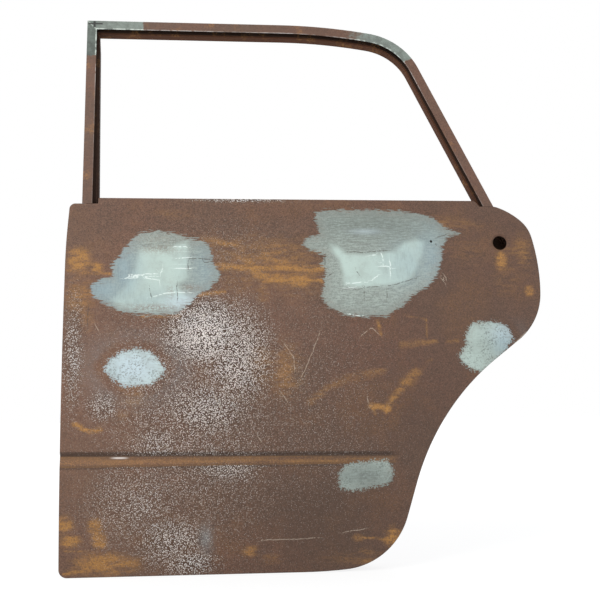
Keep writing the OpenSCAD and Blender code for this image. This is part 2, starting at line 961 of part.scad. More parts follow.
// Places of the inner panel's holes, as distance behind the front edge and height.
winder_clips = [for (i = [-46, 46]) for (j = [-32, 32]) [winder_x + i, winder_z + j]];
pull_clips = [for (i = [-1, 1]) [pull_x + i * pull_clip_x, pull_z]];
armrest_holes = [[330, armrest_z], [520, armrest_z]];
trim_clips = concat(
    [for (x = [80 : 100 : 500]) [x, 54]],
    [for (z = [130 : 110 : 620]) [60, z]],
    [for (x = [120 : 110 : 800]) [x, 640]],
    [for (z = [480 : 50 : 580]) [855, z]]
);

// Round holes through the inner panel.
module panel_holes(places, r) {
    for (place = places)
        translate([place[0], 0, place[1]])
            drill(r, 60, 100);
}

// Pressed bead that runs along X, grown by a distance.
module bead(x0, x1, z, w, grow) {
    along_y(inner_y - bead_d - grow, inner_y + (grow > 0 ? 0 : 1))
        polygon(rounded([
            [x0 - grow, z - w / 2 - grow],
            [x1 + grow, z - w / 2 - grow],
            [x1 + grow, z + w / 2 + grow],
            [x0 - grow, z + w / 2 + grow]
        ], w / 2 + grow - 0.5));
}

// All beads of the inner panel, grown by a distance.
module beads(grow) {
    bead(110, 325, 76, low_bead_w, grow);
    bead(400, 540, 76, low_bead_w, grow);
    bead(90, 350, 370, bead_w, grow);
    bead(520, 640, 370, bead_w, grow);
    bead(560, 690, 450, bead_w, grow);
    bead(360, 660, 600, bead_w, grow);
}

module inner_panel() {
    back = wall_in + land_w;
    color("#5c4a3f")
    placed()
        difference() {
            union() {
                along_y(land_y - sheet, land_y)
                    body_outline(wall_in);
                along_y(land_y - sheet, inner_y)
                    body_outline(back - sheet);
                beads(sheet);
            }
            difference() {
                along_y(land_y - 3, inner_y - sheet)
                    body_outline(back);
                beads(sheet);
            }
            beads(0);
            for (aperture = [front_aperture, rear_aperture, upper_aperture, lock_aperture])
                along_y(land_y - 10, inner_y + 10)
                    polygon(rounded(aperture, aperture_r));
            panel_holes([[winder_x, winder_z]], winder_r);
            panel_holes([[pull_x, pull_z]], pull_r);
            panel_holes(winder_clips, clip_r);
            panel_holes(pull_clips, clip_r);
            panel_holes(armrest_holes, armrest_r);
            panel_holes(trim_clips, clip_r);
        }
}

module waist_rail_inner() {
    low = belt_z - 50;
    high = belt_z - 2;
    wall = 1.2;
    color("#5a4639")
    placed()
        difference() {
            along_x(upright_x + section_w + 1.5, belt_rear_x + 3)
                polygon([
                    [54, low],
                    [62, high],
                    [land_y + 1, high],
                    [land_y + 1, low + 1],
                    [land_y + lap, low + 1],
                    [land_y + lap, high - wall],
                    [63, high - wall],
                    [55.4, low + wall],
                    [62, low + wall],
                    [62, low]
                ]);
            for (x = [115 : 130 : 780])
                translate([x, 0, belt_z - 15])
                    drill(clip_r, 70, 90);
        }
}

// Curved channel that guides one edge of the glass; its mouth faces the other guide.
module glass_guide(back_x, mouth_dir) {
    x0 = mouth_dir > 0 ? back_x : back_x - guide_d;
    difference() {
        intersection() {
            layer(3, 3 + guide_w, x0, x0 + guide_d);
            translate([x0 - 1, -5, guide_low_z])
                cube([guide_d + 2, 90, 330]);
        }
        layer(4, 2 + guide_w, x0 + mouth_dir, x0 + guide_d + mouth_dir);
    }
}

module front_glass_guide() {
    color("#5c5650")
    placed()
        glass_guide(front_guide_x, 1);
}

module rear_glass_guide() {
    color("#5c5650")
    placed()
        glass_guide(rear_guide_x, -1);
}

module front_guide_bracket() {
    x0 = hinge_face_x + pillar_t + lap;
    x1 = front_guide_x - lap;
    color("#4d4038")
    placed()
        union() {
            translate([x0, 7, front_bracket_z])
                cube([x1 - x0, front_bracket_w, bracket_t]);
            translate([x0, 7, front_bracket_z])
                cube([bracket_t, front_bracket_w, front_bracket_w]);
            translate([x1 - bracket_t, 7, front_bracket_z - 18])
                cube([bracket_t, front_bracket_w / 2, 18 + bracket_t]);
        }
}

module rear_guide_bracket() {
    x0 = rear_guide_x + lap;
    color("#4d4038")
    placed()
        union() {
            translate([x0, 8, rear_bracket_z])
                cube([bracket_t, inner_y - sheet - lap - 8, rear_bracket_w]);
            translate([x0, inner_y - sheet - lap - bracket_t, rear_bracket_z])
                cube([rear_bracket_w - 4, bracket_t, rear_bracket_w]);
        }
}

outer_skin();
belt_outer_rail();
skin_brace();
handle_plate();
frame_front_upright();
frame_header();
frame_rear_corner();
frame_rear_upright();
hinge_pillar();
bottom_rail();
wheel_arch_rail();
lock_pillar();
hinge_plate_upper();
hinge_plate_lower();
check_strap_plate();
lock_plate();
inner_panel();
waist_rail_inner();
front_glass_guide();
rear_glass_guide();
front_guide_bracket();
rear_guide_bracket();
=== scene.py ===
import json
import math

import bmesh
import bpy
import numpy as np
from mathutils import Matrix, Vector

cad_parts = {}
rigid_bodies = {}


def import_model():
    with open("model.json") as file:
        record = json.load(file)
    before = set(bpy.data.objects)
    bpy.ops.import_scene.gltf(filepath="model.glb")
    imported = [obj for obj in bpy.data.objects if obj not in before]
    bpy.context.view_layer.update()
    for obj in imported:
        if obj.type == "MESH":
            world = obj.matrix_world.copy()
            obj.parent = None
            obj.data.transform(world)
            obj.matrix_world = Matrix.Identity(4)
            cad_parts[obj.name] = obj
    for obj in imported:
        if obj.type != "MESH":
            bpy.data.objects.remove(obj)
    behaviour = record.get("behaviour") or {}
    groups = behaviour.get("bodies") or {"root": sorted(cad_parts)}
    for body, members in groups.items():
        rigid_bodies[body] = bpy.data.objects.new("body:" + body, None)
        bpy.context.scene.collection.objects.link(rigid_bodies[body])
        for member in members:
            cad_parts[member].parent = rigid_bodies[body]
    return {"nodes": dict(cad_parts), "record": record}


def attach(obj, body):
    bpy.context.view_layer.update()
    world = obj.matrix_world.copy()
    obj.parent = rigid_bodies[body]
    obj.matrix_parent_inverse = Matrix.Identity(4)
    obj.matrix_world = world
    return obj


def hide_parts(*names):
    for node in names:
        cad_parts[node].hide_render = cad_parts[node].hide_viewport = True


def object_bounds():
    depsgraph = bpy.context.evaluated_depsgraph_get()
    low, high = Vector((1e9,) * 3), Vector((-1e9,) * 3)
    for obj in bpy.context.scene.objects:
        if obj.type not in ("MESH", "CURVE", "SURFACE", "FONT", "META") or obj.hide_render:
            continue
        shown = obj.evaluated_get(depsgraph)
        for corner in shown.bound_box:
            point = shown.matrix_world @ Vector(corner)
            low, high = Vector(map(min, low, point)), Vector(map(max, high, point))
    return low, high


bl_info = {
    "name": "Rear Side Door",
    "version": (1, 0, 0),
    "blender": (4, 5, 0),
    "location": "View3D > Sidebar > Door",
    "description": "Builds the pressings, window frame and worn primer of a stripped rear side door",
    "category": "Add Mesh",
}

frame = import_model()
CAD_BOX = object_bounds()
# The door is drawn from its skin's front edge, lowest edge and outermost point.
DRAWING_CORNER = Vector((-0.013, -0.05, -0.355))
ACROSS = (0, -1, 0)
SHARP = math.radians(38)


def length(name, description, mm):
    return bpy.props.FloatProperty(
        name=name, description=description, default=mm / 1000, unit="LENGTH", precision=4
    )


def turn_angle(name, description, degrees):
    return bpy.props.FloatProperty(
        name=name, description=description, default=math.radians(degrees), subtype="ANGLE"
    )


def paint(name, description, r, g, b):
    """A colour given as it looks on a screen, from 0 to 255."""
    linear = [((c / 255 + 0.055) / 1.055) ** 2.4 if c > 10 else c / 255 / 12.92 for c in (r, g, b)]
    return bpy.props.FloatVectorProperty(
        name=name, description=description, default=linear, size=3, subtype="COLOR", min=0, max=1
    )


class DoorOutline(bpy.types.PropertyGroup):
    """Outline of the skin, seen from outside."""

    belt: length("Belt height", "Height of the belt line below the window", 705)
    shoulder: length("Shoulder height", "Height of the skin's top edge beside the window", 693)
    foot_r: length("Foot radius", "Radius of the lower front corner", 15)
    sill_end: length("Sill end", "Where the straight sill edge ends", 446)
    heel_lead_r: length("Heel lead radius", "Radius that leads into the lower rear corner", 879)
    heel_lead_turn: turn_angle("Heel lead turn", "Turn of that radius", 5.1)
    heel_r: length("Heel radius", "Radius of the lower rear corner", 132)
    heel_turn: turn_angle("Heel turn", "Turn of the lower rear corner", 68.2)
    arch_lead: length("Arch lead", "Straight run from the heel to the wheel arch", 64.7)
    arch_r: length("Arch radius", "Radius of the hollow wheel-arch edge", 457)
    arch_turn: turn_angle("Arch turn", "Turn of the wheel-arch edge", 35.7)
    arch_run: length("Arch run", "Straight run above the wheel arch", 61.2)
    hip_r: length("Hip radius", "Radius of the corner above the wheel arch", 123.2)
    hip_turn: turn_angle("Hip turn", "Turn of that corner", 49.3)
    tail_r: length("Tail radius", "Radius of the rear edge", 404)
    tail_turn: turn_angle("Tail turn", "Turn of the rear edge", 16.1)
    shoulder_r: length("Shoulder radius", "Radius of the rear shoulder", 64.6)
    shoulder_turn: turn_angle("Shoulder turn", "Turn of the rear shoulder", 34.2)
    crown_r: length("Crown radius", "Radius towards the window frame", 134)
    crown_turn: turn_angle("Crown turn", "Turn of that part", 22)
    level_r: length("Level radius", "Radius that levels the top edge", 45)
    lean_z: length("Lean height", "Height above which the front edge leans back", 578)
    lean_r: length("Lean radius", "Radius that starts the leaning part", 1250)
    lean_turn: turn_angle("Lean turn", "Turn of that radius", 3.2)
    lean_run: length("Lean run", "Straight run to the top front corner", 34.8)
    belt_front: length("Belt front", "Front end of the raised belt edge", 57.5)
    belt_rear: length("Belt rear", "Rear end of the raised belt edge", 793)
    belt_rake: length("Belt rake", "Reach of the belt edge's foot behind its top", 10)


class DoorSkin(bpy.types.PropertyGroup):
    """Section of the skin, its swage and its holes."""

    bulge_r: length("Bulge radius", "Radius of the skin's bulge, seen from the front", 3000)
    bulge_z: length("Bulge height", "Height of the outermost point", 200)
    sheet: length("Sheet", "Thickness of the sheet", 0.9)
    hem: length("Hem thickness", "Thickness of the folded edge", 2.8)
    hem_w: length("Hem width", "Width of the folded edge", 10)
    roll: length("Belt roll", "Radius of the rolled belt edge", 4)
    swage_top: length("Swage top", "Height of the swage's upper edge at the front", 224)
    swage_low: length("Swage foot", "Height where the lower slope leaves the skin", 196)
    swage_end: length("Swage end", "Rear end of the swage", 630)
    swage_fall: turn_angle("Swage fall", "Fall of the upper edge", 0.64)
    swage_slope: turn_angle("Swage slope", "Steepness of the lower slope", 11.5)
    swage_wall: turn_angle("Swage wall", "Steepness of the upper wall from the level", 50)
    swage_soft: length("Swage softness", "Softness of the swage's bends", 1.6)
    button_x: length("Button place", "Push-button hole behind the front edge", 838.5)
    button_z: length("Button height", "Height of the push-button hole", 618.6)
    button_r: length("Button radius", "Radius of the push-button hole", 14)
    dish_r: length("Dish radius", "Radius of the dished rim", 18)
    dish_depth: length("Dish depth", "Depth of the dished rim", 2.5)
    screw_x: length("Screw place", "Screw hole behind the front edge", 700.9)
    screw_z: length("Screw height", "Height of the screw hole", 620.6)
    screw_r: length("Screw radius", "Radius of the screw hole", 2.5)


class WindowFrame(bpy.types.PropertyGroup):
    """Rolled section of the window frame and the line it follows."""

    lean: turn_angle("Lean", "Lean of the frame into the cabin", 9.5)
    upright_x: length("Upright place", "Outer edge of the front upright at the belt", 27.3)
    upright_rake: turn_angle("Upright rake", "Rake of the front upright", 0.66)
    height: length("Height", "Height above the belt along the lean", 382)
    header_end: length("Header end", "Where the header's straight part ends", 414)
    header_r: length("Header radius", "Radius of the header's bent part", 1112)
    header_turn: turn_angle("Header turn", "Turn of that part", 9.5)
    bend_r: length("Bend radius", "Outer radius of the rear bend", 131.5)
    bend_turn: turn_angle("Bend turn", "Turn of the rear bend", 56.5)
    face_w: length("Face width", "Width of the outer face", 19)
    depth: length("Depth", "Depth of the frame across its section", 32)
    channel: length("Channel depth", "Depth of the glass channel's mouth", 14)
    overhang: length("Overhang", "How far the face overhangs the box behind", 5)
    width: length("Width", "Width from the outer edge to the inner lip", 22.5)
    flare_top: length("Upper flare", "How much wider the front upright's inner wall is below the mitre", 2)
    flare: length("Lower flare", "How much wider that wall is at the belt", 7)
    leg: length("Front leg", "How far the front leg runs down into the door", 62)
    rear_leg: length("Rear leg", "Length of the rear leg inside the door", 44)


class InnerPanel(bpy.types.PropertyGroup):
    """Pressed inner panel and the shut faces round it."""

    wall_in: length("Shut face inset", "Distance of the shut faces inside the skin's edge", 13)
    flange: length("Weld flange", "Width of the inner weld flange", 12)
    pillar_top: length("Pillar top", "Where the front shut face ends below the window frame", 31.5)
    sill_start: length("Sill start", "Where the front shut face gives way to the sill channel", 60)
    arch_start: length("Arch start", "Where the sill channel gives way to the wheel-arch channel", 430)
    fold_r: length("Fold radius", "Radius of the pressed folds", 2)
    corner_r: length("Corner radius", "Least radius of the pressed corners", 1.5)
    land_y: length("Land depth", "Depth of the sealing land", 77)
    inner_y: length("Inner depth", "Depth of the raised inner face", 88)
    land_w: length("Land width", "Width of the sealing land", 27)
    aperture_r: length("Aperture corners", "Radius of the corners of the access apertures", 22)
    lip: length("Aperture lip", "Depth of the lip turned in round an aperture", 4)
    bead: length("Bead depth", "Depth of the stiffening beads", 4)
    clip_r: length("Clip holes", "Radius of the trim-clip holes", 3.5)
    hinge_y: length("Hinge depth", "Depth of the hinge bolts, the check strap and the lock", 50)
    hinge_r: length("Hinge holes", "Radius of the hinge bolt holes", 4.5)
    screw_r: length("Screw holes", "Radius of the strap and lock screw holes", 3.2)
    strap_z: length("Strap height", "Height of the check strap", 430)
    lock_x: length("Lock place", "Plane of the rear shut face at the lock", 898.8)
    lock_z: length("Lock height", "Height of the lock", 545)


class DoorColours(bpy.types.PropertyGroup):
    """Colours of the primers, filler, rust and wear."""

    primer: paint("Primer", "Brown primer of the skin", 107, 81, 66)
    # The dark primer is also the tone of painted shade, broad over the skin and along the swage's wall and
    # foot
    primer_dark: paint("Dark primer", "Brown primer where it is thick or stained", 84, 64, 52)
    primer_red: paint("Red primer", "Redder tint of the primer", 120, 83, 67)
    frame: paint("Frame primer", "Primer of the window frame", 97, 76, 63)
    inner: paint("Inner primer", "Primer inside the door", 92, 72, 59)
    bracket: paint("Bracket primer", "Primer of the brackets and plates", 80, 68, 60)
    rust: paint("Rust", "Orange rust", 180, 130, 68)
    filler: paint("Filler", "Pale mint filler", 190, 208, 200)
    sanded: paint("Sanded filler", "Thin grey sanded filler", 160, 168, 160)
    frost: paint("Frosted filler", "Cool white of freshly rubbed filler", 204, 220, 228)
    steel: paint("Bare steel", "Ground steel at the welded corners of the window frame", 112, 124, 117)
    steel_blue: paint("Blue primer", "Blue-grey feathered edge", 148, 170, 178)
    # Specks are partly painted glints, and this tone is also the swage's painted glint
    speck: paint("Specks", "Bright specks of sanding dust and bare metal", 238, 230, 224)
    scratch: paint("Scratches", "Pale scratches", 206, 190, 170)


# Shapes of the outline


def outline_bends():
    """The outline's bends in order, as (start, heading, radius, turn)."""
    o = bpy.context.scene.door_outline
    up = math.pi / 2

    def arc(p, h, r, t):
        s = math.copysign(1, t)
        along, rise = math.sin(h + t) - math.sin(h), math.cos(h) - math.cos(h + t)
        return (p[0] + s * r * along, p[1] + s * r * rise)

    def run(p, h, d):
        return (p[0] + d * math.cos(h), p[1] + d * math.sin(h))

    bends, p, h = [], (o.sill_end, 0.0), 0.0
    for radius, turned, straight in (
        (o.heel_lead_r, o.heel_lead_turn, 0),
        (o.heel_r, o.heel_turn, o.arch_lead),
        (o.arch_r, -o.arch_turn, o.arch_run),
        (o.hip_r, o.hip_turn, 0),
        (o.tail_r, o.tail_turn, 0),
        (o.shoulder_r, o.shoulder_turn, 0),
        (o.crown_r, o.crown_turn, 0),
    ):
        bends.append((p, h, radius, turned))
        p = arc(p, h, radius, turned)
        h += turned
        p = run(p, h, straight)
    bends.append((p, h, o.level_r, math.pi - h))
    lean_h = 3 * up - o.lean_turn
    lean_step = arc((0, 0), lean_h, o.lean_r, o.lean_turn)
    lean_top = (-lean_step[0], o.lean_z - lean_step[1])
    corner_end = run(lean_top, lean_h, -o.lean_run)
    corner_r = (o.shoulder - corner_end[1]) / (1 - math.sin(o.lean_turn))
    corner_step = arc((0, 0), math.pi, corner_r, up - o.lean_turn)
    corner_top = (corner_end[0] - corner_step[0], corner_end[1] - corner_step[1])
    bends.append((corner_top, math.pi, corner_r, up - o.lean_turn))
    bends.append((lean_top, lean_h, o.lean_r, o.lean_turn))
    bends.append(((0.0, o.foot_r), 3 * up, o.foot_r, up))
    return bends


def skin_depth(z):
    """Depth of the bulged skin at a height."""
    s = bpy.context.scene.door_skin
    return s.bulge_r - np.sqrt(s.bulge_r**2 - (z - s.bulge_z) ** 2)


def soft_max(a, b, soft):
    return (a + b + np.sqrt((a - b) ** 2 + soft**2)) / 2


def soft_min(a, b, soft):
    return -soft_max(-a, -b, soft)


def smooth(value, low, high):
    t = np.clip((value - low) / (high - low), 0, 1)
    return t * t * (3 - 2 * t)


def swage_depth(x, z):
    """How deep the swage is pressed into the skin, with a narrow steep wall above a long lower slope."""
    s = bpy.context.scene.door_skin
    top = s.swage_top - x * math.tan(s.swage_fall)
    slope = skin_depth(s.swage_low) + (z - s.swage_low) * math.tan(s.swage_slope) - skin_depth(z)
    wall = (top - z) / math.tan(s.swage_wall) - skin_depth(z)
    soft = s.swage_soft
    hollow = soft_min(slope, wall, soft)
    hollow = soft_max(hollow, 0 * hollow, soft * 0.4) - soft * 0.2
    middle = (s.swage_low + top) / 2 - 0.001
    round_end = np.hypot(np.maximum(x - s.swage_end + 0.03, 0) * 0.5, z - middle)
    hollow = np.maximum(hollow, 0)
    edge = smooth(round_end, 0.006, 0.0165)
    middle_run = 1 - smooth(x, s.swage_end - 0.014, s.swage_end)
    edge_run = 1 - smooth(x, s.swage_end - 0.05, s.swage_end - 0.012)
    return hollow * (1 - edge) * middle_run + hollow * edge * edge_run


# Drawing and shaping in edit mode


def start_piece(name):
    """An empty mesh in edit mode that becomes one named piece."""
    if bpy.context.object and bpy.context.object.mode == "EDIT":
        bpy.ops.object.mode_set(mode="OBJECT")
    bpy.ops.object.select_all(action="DESELECT")
    bpy.ops.mesh.primitive_plane_add(size=0.001)
    piece = bpy.context.object
    piece.name = piece.data.name = name
    bpy.ops.object.mode_set(mode="EDIT")
    bpy.ops.mesh.delete(type="VERT")
    return piece


def edit_mesh():
    return bmesh.from_edit_mesh(bpy.context.object.data)


def pick(kind):
    """Sets whether points, edges or faces are picked."""
    bpy.context.tool_settings.mesh_select_mode = [kind == k for k in ("verts", "edges", "faces")]


def choose(test, kind="verts"):
    """Selects the points, edges or faces that pass a test, and nothing else."""
    pick(kind)
    mesh = edit_mesh()
    for part in (mesh.verts, mesh.edges, mesh.faces):
        for item in part:
            item.select = False
    found = [item for item in getattr(mesh, kind) if test(item)]
    for item in found:
        item.select_set(True)
    if kind == "verts":
        mesh.select_flush(True)
    bmesh.update_edit_mesh(bpy.context.object.data)
    return len(found)


def ring_layer(mesh):
    return mesh.verts.layers.int.get("ring") or mesh.verts.layers.int.new("ring")


def select_mesh(action):
    bpy.ops.mesh.select_all(action=action)


def choose_rings(*rings):
    """Selects the edges of rings, without the edges that already lie between two faces."""
    pick("edges")
    layer = ring_layer(edit_mesh())

    def is_open(e):
        ring = e.verts[0][layer]
        return ring in rings and ring == e.verts[1][layer] and len(e.link_faces) < 2

    choose(is_open, "edges")


def join_rings(count, flat=(), beauty=False):
    """Fills the strips between numbered rings, the flat ones with triangles and the others with bridges."""
    for number in range(1, count):
        choose_rings(number, number + 1)
        if number in flat:
            bpy.ops.mesh.fill(use_beauty=beauty)
        else:
            bpy.ops.mesh.bridge_edge_loops()


def about(x, z, reach):
    """Tests whether a face's middle lies within a distance of a line along Y."""

    def test(f):
        m = f.calc_center_median()
        return math.hypot(m.x - x, m.z - z) < reach

    return test


def draw_circle(x, y, z, radius, count):
    """Draws a circle that faces along Y and leaves it chosen alone."""
    pick("verts")
    select_mesh("DESELECT")
    bpy.ops.mesh.primitive_circle_add(
        vertices=count, radius=radius, location=(x, y, z), rotation=(math.pi / 2, 0, 0)
    )


def fine_steps(radius, turned, fineness=0.00003):
    """Number of chords that keep within a small distance of an arc."""
    return max(2, math.ceil(abs(turned) / (2 * math.acos(max(0.5, 1 - fineness / max(radius, fineness))))))


class Pen:
    """Draws an edge from one loose point. Every point that it makes carries the ring's number."""

    def __init__(self, point, ring):
        pick("verts")
        select_mesh("DESELECT")
        bpy.ops.mesh.primitive_plane_add(size=0.001, location=point)
        bpy.ops.mesh.merge(type="CENTER")
        mesh = edit_mesh()
        layer = ring_layer(mesh)
        for v in mesh.verts:
            if v.select:
                v[layer] = ring
        self.start = self.place = Vector(point)

    def line(self, point):
        step = Vector(point) - self.place
        if step.length > 2e-6:
            bpy.ops.mesh.extrude_region_move(TRANSFORM_OT_translate={"value": step})
            self.place = Vector(point)

    def arc(self, centre, turned, axis, steps=None):
        """Spins the pen about a centre, in steps whose chords stay close to the curve."""
        steps = steps or fine_steps((self.place - Vector(centre)).length, turned)
        # Spin turns clockwise about its axis, so it gets the opposite one
        bpy.ops.mesh.spin(steps=steps, angle=turned, center=centre, axis=-Vector(axis))
        self.place = Matrix.Rotation(turned, 3, Vector(axis)) @ (self.place - Vector(centre)) + Vector(centre)

    def close(self):
        self.line(self.start)
        bpy.ops.mesh.select_linked()
        bpy.ops.mesh.remove_doubles(threshold=1e-5)


def draw_bends(bends, inset, y, pen=None, ring=0):
    """Draws bends of the outline, moved into the door; a tight bend keeps a small radius."""
    least = bpy.context.scene.inner_panel.corner_r
    for p, h, r, t in bends:
        s = math.copysign(1, t)
        reach = s * (r - s * inset)
        short = min(0, reach - least) / math.cos(t / 2) if s > 0 else 0
        reach = reach if s < 0 else max(reach, least)
        x = p[0] - s * r * math.sin(h) + short * math.sin(h + t / 2)
        z = p[1] + s * r * math.cos(h) - short * math.cos(h + t / 2)
        begin = (x + reach * math.sin(h), y, z - reach * math.cos(h))
        pen = pen or Pen(begin, ring)
        pen.line(begin)
        pen.arc((x, y, z), t, ACROSS, fine_steps(r, t))
    return pen


def draw_skin_ring(bends, inset, y, ring):
    """The whole outline with its raised belt edge, moved into the door."""
    o = bpy.context.scene.door_outline
    pen = draw_bends(bends[:8], inset, y, ring=ring)
    for x, z in (
        (o.belt_rear + o.belt_rake - inset, o.shoulder - inset),
        (o.belt_rear - inset, o.belt - inset),
        (o.belt_front + inset, o.belt - inset),
        (o.belt_front + inset, o.shoulder - inset),
    ):
        pen.line((x, y, z))
    draw_bends(bends[8:], inset, y, pen)
    pen.close()


def hide_faces():
    """Hides the chosen faces only, and not those that share a point with them."""
    pick("faces")
    bpy.ops.mesh.hide()


def cut_rows(stations, axis, fall=0.0):
    """Cuts all that shows of the mesh along parallel planes, level or falling along X."""
    normal = [math.tan(fall), 0, 0]
    normal[axis] = 1
    for value in stations:
        place = [0, 0, 0]
        place[axis] = value
        select_mesh("SELECT")
        bpy.ops.mesh.bisect(plane_co=place, plane_no=normal)


def finish_mesh():
    """Turns the mesh's faces outwards and leaves edit mode."""
    select_mesh("SELECT")
    bpy.ops.mesh.normals_make_consistent(inside=False)
    bpy.ops.object.mode_set(mode="OBJECT")


def apply_modifier(piece, kind, **settings):
    bpy.context.view_layer.objects.active = piece
    modifier = piece.modifiers.new(kind.title(), kind)
    for key, value in settings.items():
        setattr(modifier, key, value)
    bpy.ops.object.modifier_apply(modifier=modifier.name)


def points_of(piece):
    co = np.zeros(len(piece.data.vertices) * 3, np.float32)
    piece.data.vertices.foreach_get("co", co)
    return co.reshape(-1, 3).astype(float)


def section_field(piece, name):
    """Values that a piece's points carry under a name."""
    values = np.zeros(len(piece.data.vertices), np.float32)
    piece.data.attributes[name].data.foreach_get("value", values)
    return values


def press(piece, depth, direction="Y"):
    """Presses each point along an axis by its own depth, through a weighted displacement."""
    most = float(np.max(depth))
    if most < 1e-7:
        return
    group = piece.vertex_groups.new(name="pressed")
    for index, value in enumerate(depth):
        if value > 1e-8:
            group.add([index], float(value) / most, "REPLACE")
    apply_modifier(piece, "DISPLACE", direction=direction, strength=most, mid_level=0, vertex_group="pressed")
    piece.vertex_groups.remove(piece.vertex_groups["pressed"])


def choose_pieces(*pieces):
    """Selects pieces and nothing else, the last one active."""
    bpy.ops.object.select_all(action="DESELECT")
    for piece in pieces:
        piece.select_set(True)
    bpy.context.view_layer.objects.active = pieces[-1]


def settle(piece, turned=None, place=(0, 0, 0)):
    """Turns and moves a piece from its own drawing and bakes its place into the mesh."""
    choose_pieces(piece)
    piece.matrix_world = Matrix.Translation(place) @ (turned or Matrix.Identity(4))
    bpy.ops.object.transform_apply(location=True, rotation=True, scale=True)


def hand_over(piece, material, slot, *nodes):
    """Places a finished piece on the door in the CAD frame, with its material, in place of the CAD nodes that
    it hides.
    """
    uses = np.zeros(len(piece.data.loops), np.int32)
    piece.data.loops.foreach_get("edge_index", uses)
    if np.any(np.bincount(uses, minlength=len(piece.data.edges)) != 2):
        raise RuntimeError(piece.name + " is not a closed mesh")
    settle(piece, place=DRAWING_CORNER)
    bpy.ops.object.shade_smooth_by_angle(angle=SHARP)
    piece.data.materials.clear()
    piece.data.materials.append(bpy.data.materials[material])
    if "ring" in piece.data.attributes:
        piece.data.attributes.remove(piece.data.attributes["ring"])
    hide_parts(*nodes)
    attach(piece, "root")


# Painted places on the skin, in millimetres from its front and lowest edge

FILLER = {
    # Corners of the five places of filler
    "front": (
        (46, 530), (63, 542), (91, 553), (86, 568), (93, 580), (107, 598), (118, 616), (138, 634), (166, 639),
        (201, 635), (227, 627), (257, 620), (270, 607), (273, 589), (280, 571), (290, 557), (286, 542),
        (269, 527), (249, 515), (234, 498), (214, 482), (186, 476), (152, 477), (118, 482), (89, 489),
        (72, 501), (55, 512),
    ),
    "middle": (
        (473, 677), (506, 683), (570, 684), (631, 683), (676, 679), (708, 667), (729, 649), (760, 637),
        (731, 627), (724, 609), (719, 583), (710, 554), (691, 532), (658, 512), (635, 490), (609, 473),
        (562, 473), (525, 476), (497, 491), (482, 513), (489, 531), (491, 560), (484, 576), (492, 592),
        (472, 600), (450, 611), (452, 624), (482, 634), (479, 651),
    ),
    "rear": (
        (775, 460), (799, 463), (828, 461), (843, 449), (853, 430), (838, 405), (811, 380), (788, 366),
        (766, 369), (751, 384), (742, 396), (759, 418), (758, 436), (767, 452),
    ),
    "small": (
        (76, 378), (89, 395), (108, 409), (136, 414), (161, 408), (176, 394), (188, 380), (184, 363),
        (165, 346), (117, 342), (95, 354), (84, 368),
    ),
    "low": (
        (510, 180), (523, 195), (541, 199), (602, 204), (611, 188), (612, 170), (602, 158), (565, 151),
        (537, 146), (513, 151), (510, 165),
    ),
}
MINT = (
    # Its pale middles
    (
        (138, 605), (187, 604), (230, 622), (234, 548), (211, 533), (237, 501), (214, 486), (152, 480),
        (101, 489), (86, 506), (111, 530), (128, 565),
    ),
    (
        (502, 615), (516, 612), (535, 597), (566, 594), (601, 599), (627, 602), (647, 619), (673, 626),
        (689, 619), (684, 593), (674, 573), (663, 551), (643, 536), (611, 532), (564, 527), (526, 532),
        (524, 560), (518, 583), (505, 599),
    ),
)


def polygon_distance(points, corners):
    """Distance of each point from a polygon's edge, in metres; it is negative inside."""
    corners = np.array(corners, float) / 1000
    inside = np.zeros(len(points), bool)
    nearest = np.full(len(points), 1e9)
    for a, b in zip(corners, np.roll(corners, -1, 0)):
        nearest = np.minimum(nearest, line_distance(points, a, b)[0])
        rises = (a[1] > points[:, 1]) != (b[1] > points[:, 1])
        slope = (b[0] - a[0]) / (b[1] - a[1] + 1e-12)
        inside ^= rises & (points[:, 0] < a[0] + (points[:, 1] - a[1]) * slope)
    return np.where(inside, -nearest, nearest)


def line_distance(points, a, b):
    """Distance from a straight line between two points, and the same with a sign for its side."""
    along = b - a
    t = np.clip(((points - a) @ along) / (along @ along + 1e-18), 0, 1)
    away = points - a - t[:, None] * along
    side = np.sign(along[0] * (points[:, 1] - a[1]) - along[1] * (points[:, 0] - a[0]))
    far = np.hypot(away[:, 0], away[:, 1])
    return far, far * side


def line_distances(points, corners):
    """The same for a line with corners, given in millimetres."""
    corners = np.array(corners, float) / 1000
    best, signed = line_distance(points, *corners[:2])
    for a, b in zip(corners[1:], corners[2:]):
        far, side = line_distance(points, a, b)
        signed = np.where(far < best, side, signed)
        best = np.minimum(far, best)
    return best, signed


def store(piece, name, values):
    attribute = piece.data.attributes.new(name, "FLOAT", "POINT")
    attribute.data.foreach_set("value", np.asarray(values, np.float32))


def spots(points, places):
    """Soft round or oval places, each (x, z, half width, half height, strength)."""
    total = np.zeros(len(points))
    for x, z, w, h, strength in places:
        r = ((points[:, 0] * 1000 - x) / w) ** 2 + ((points[:, 1] * 1000 - z) / h) ** 2
        total = np.maximum(total, strength * np.exp(-r))
    return total


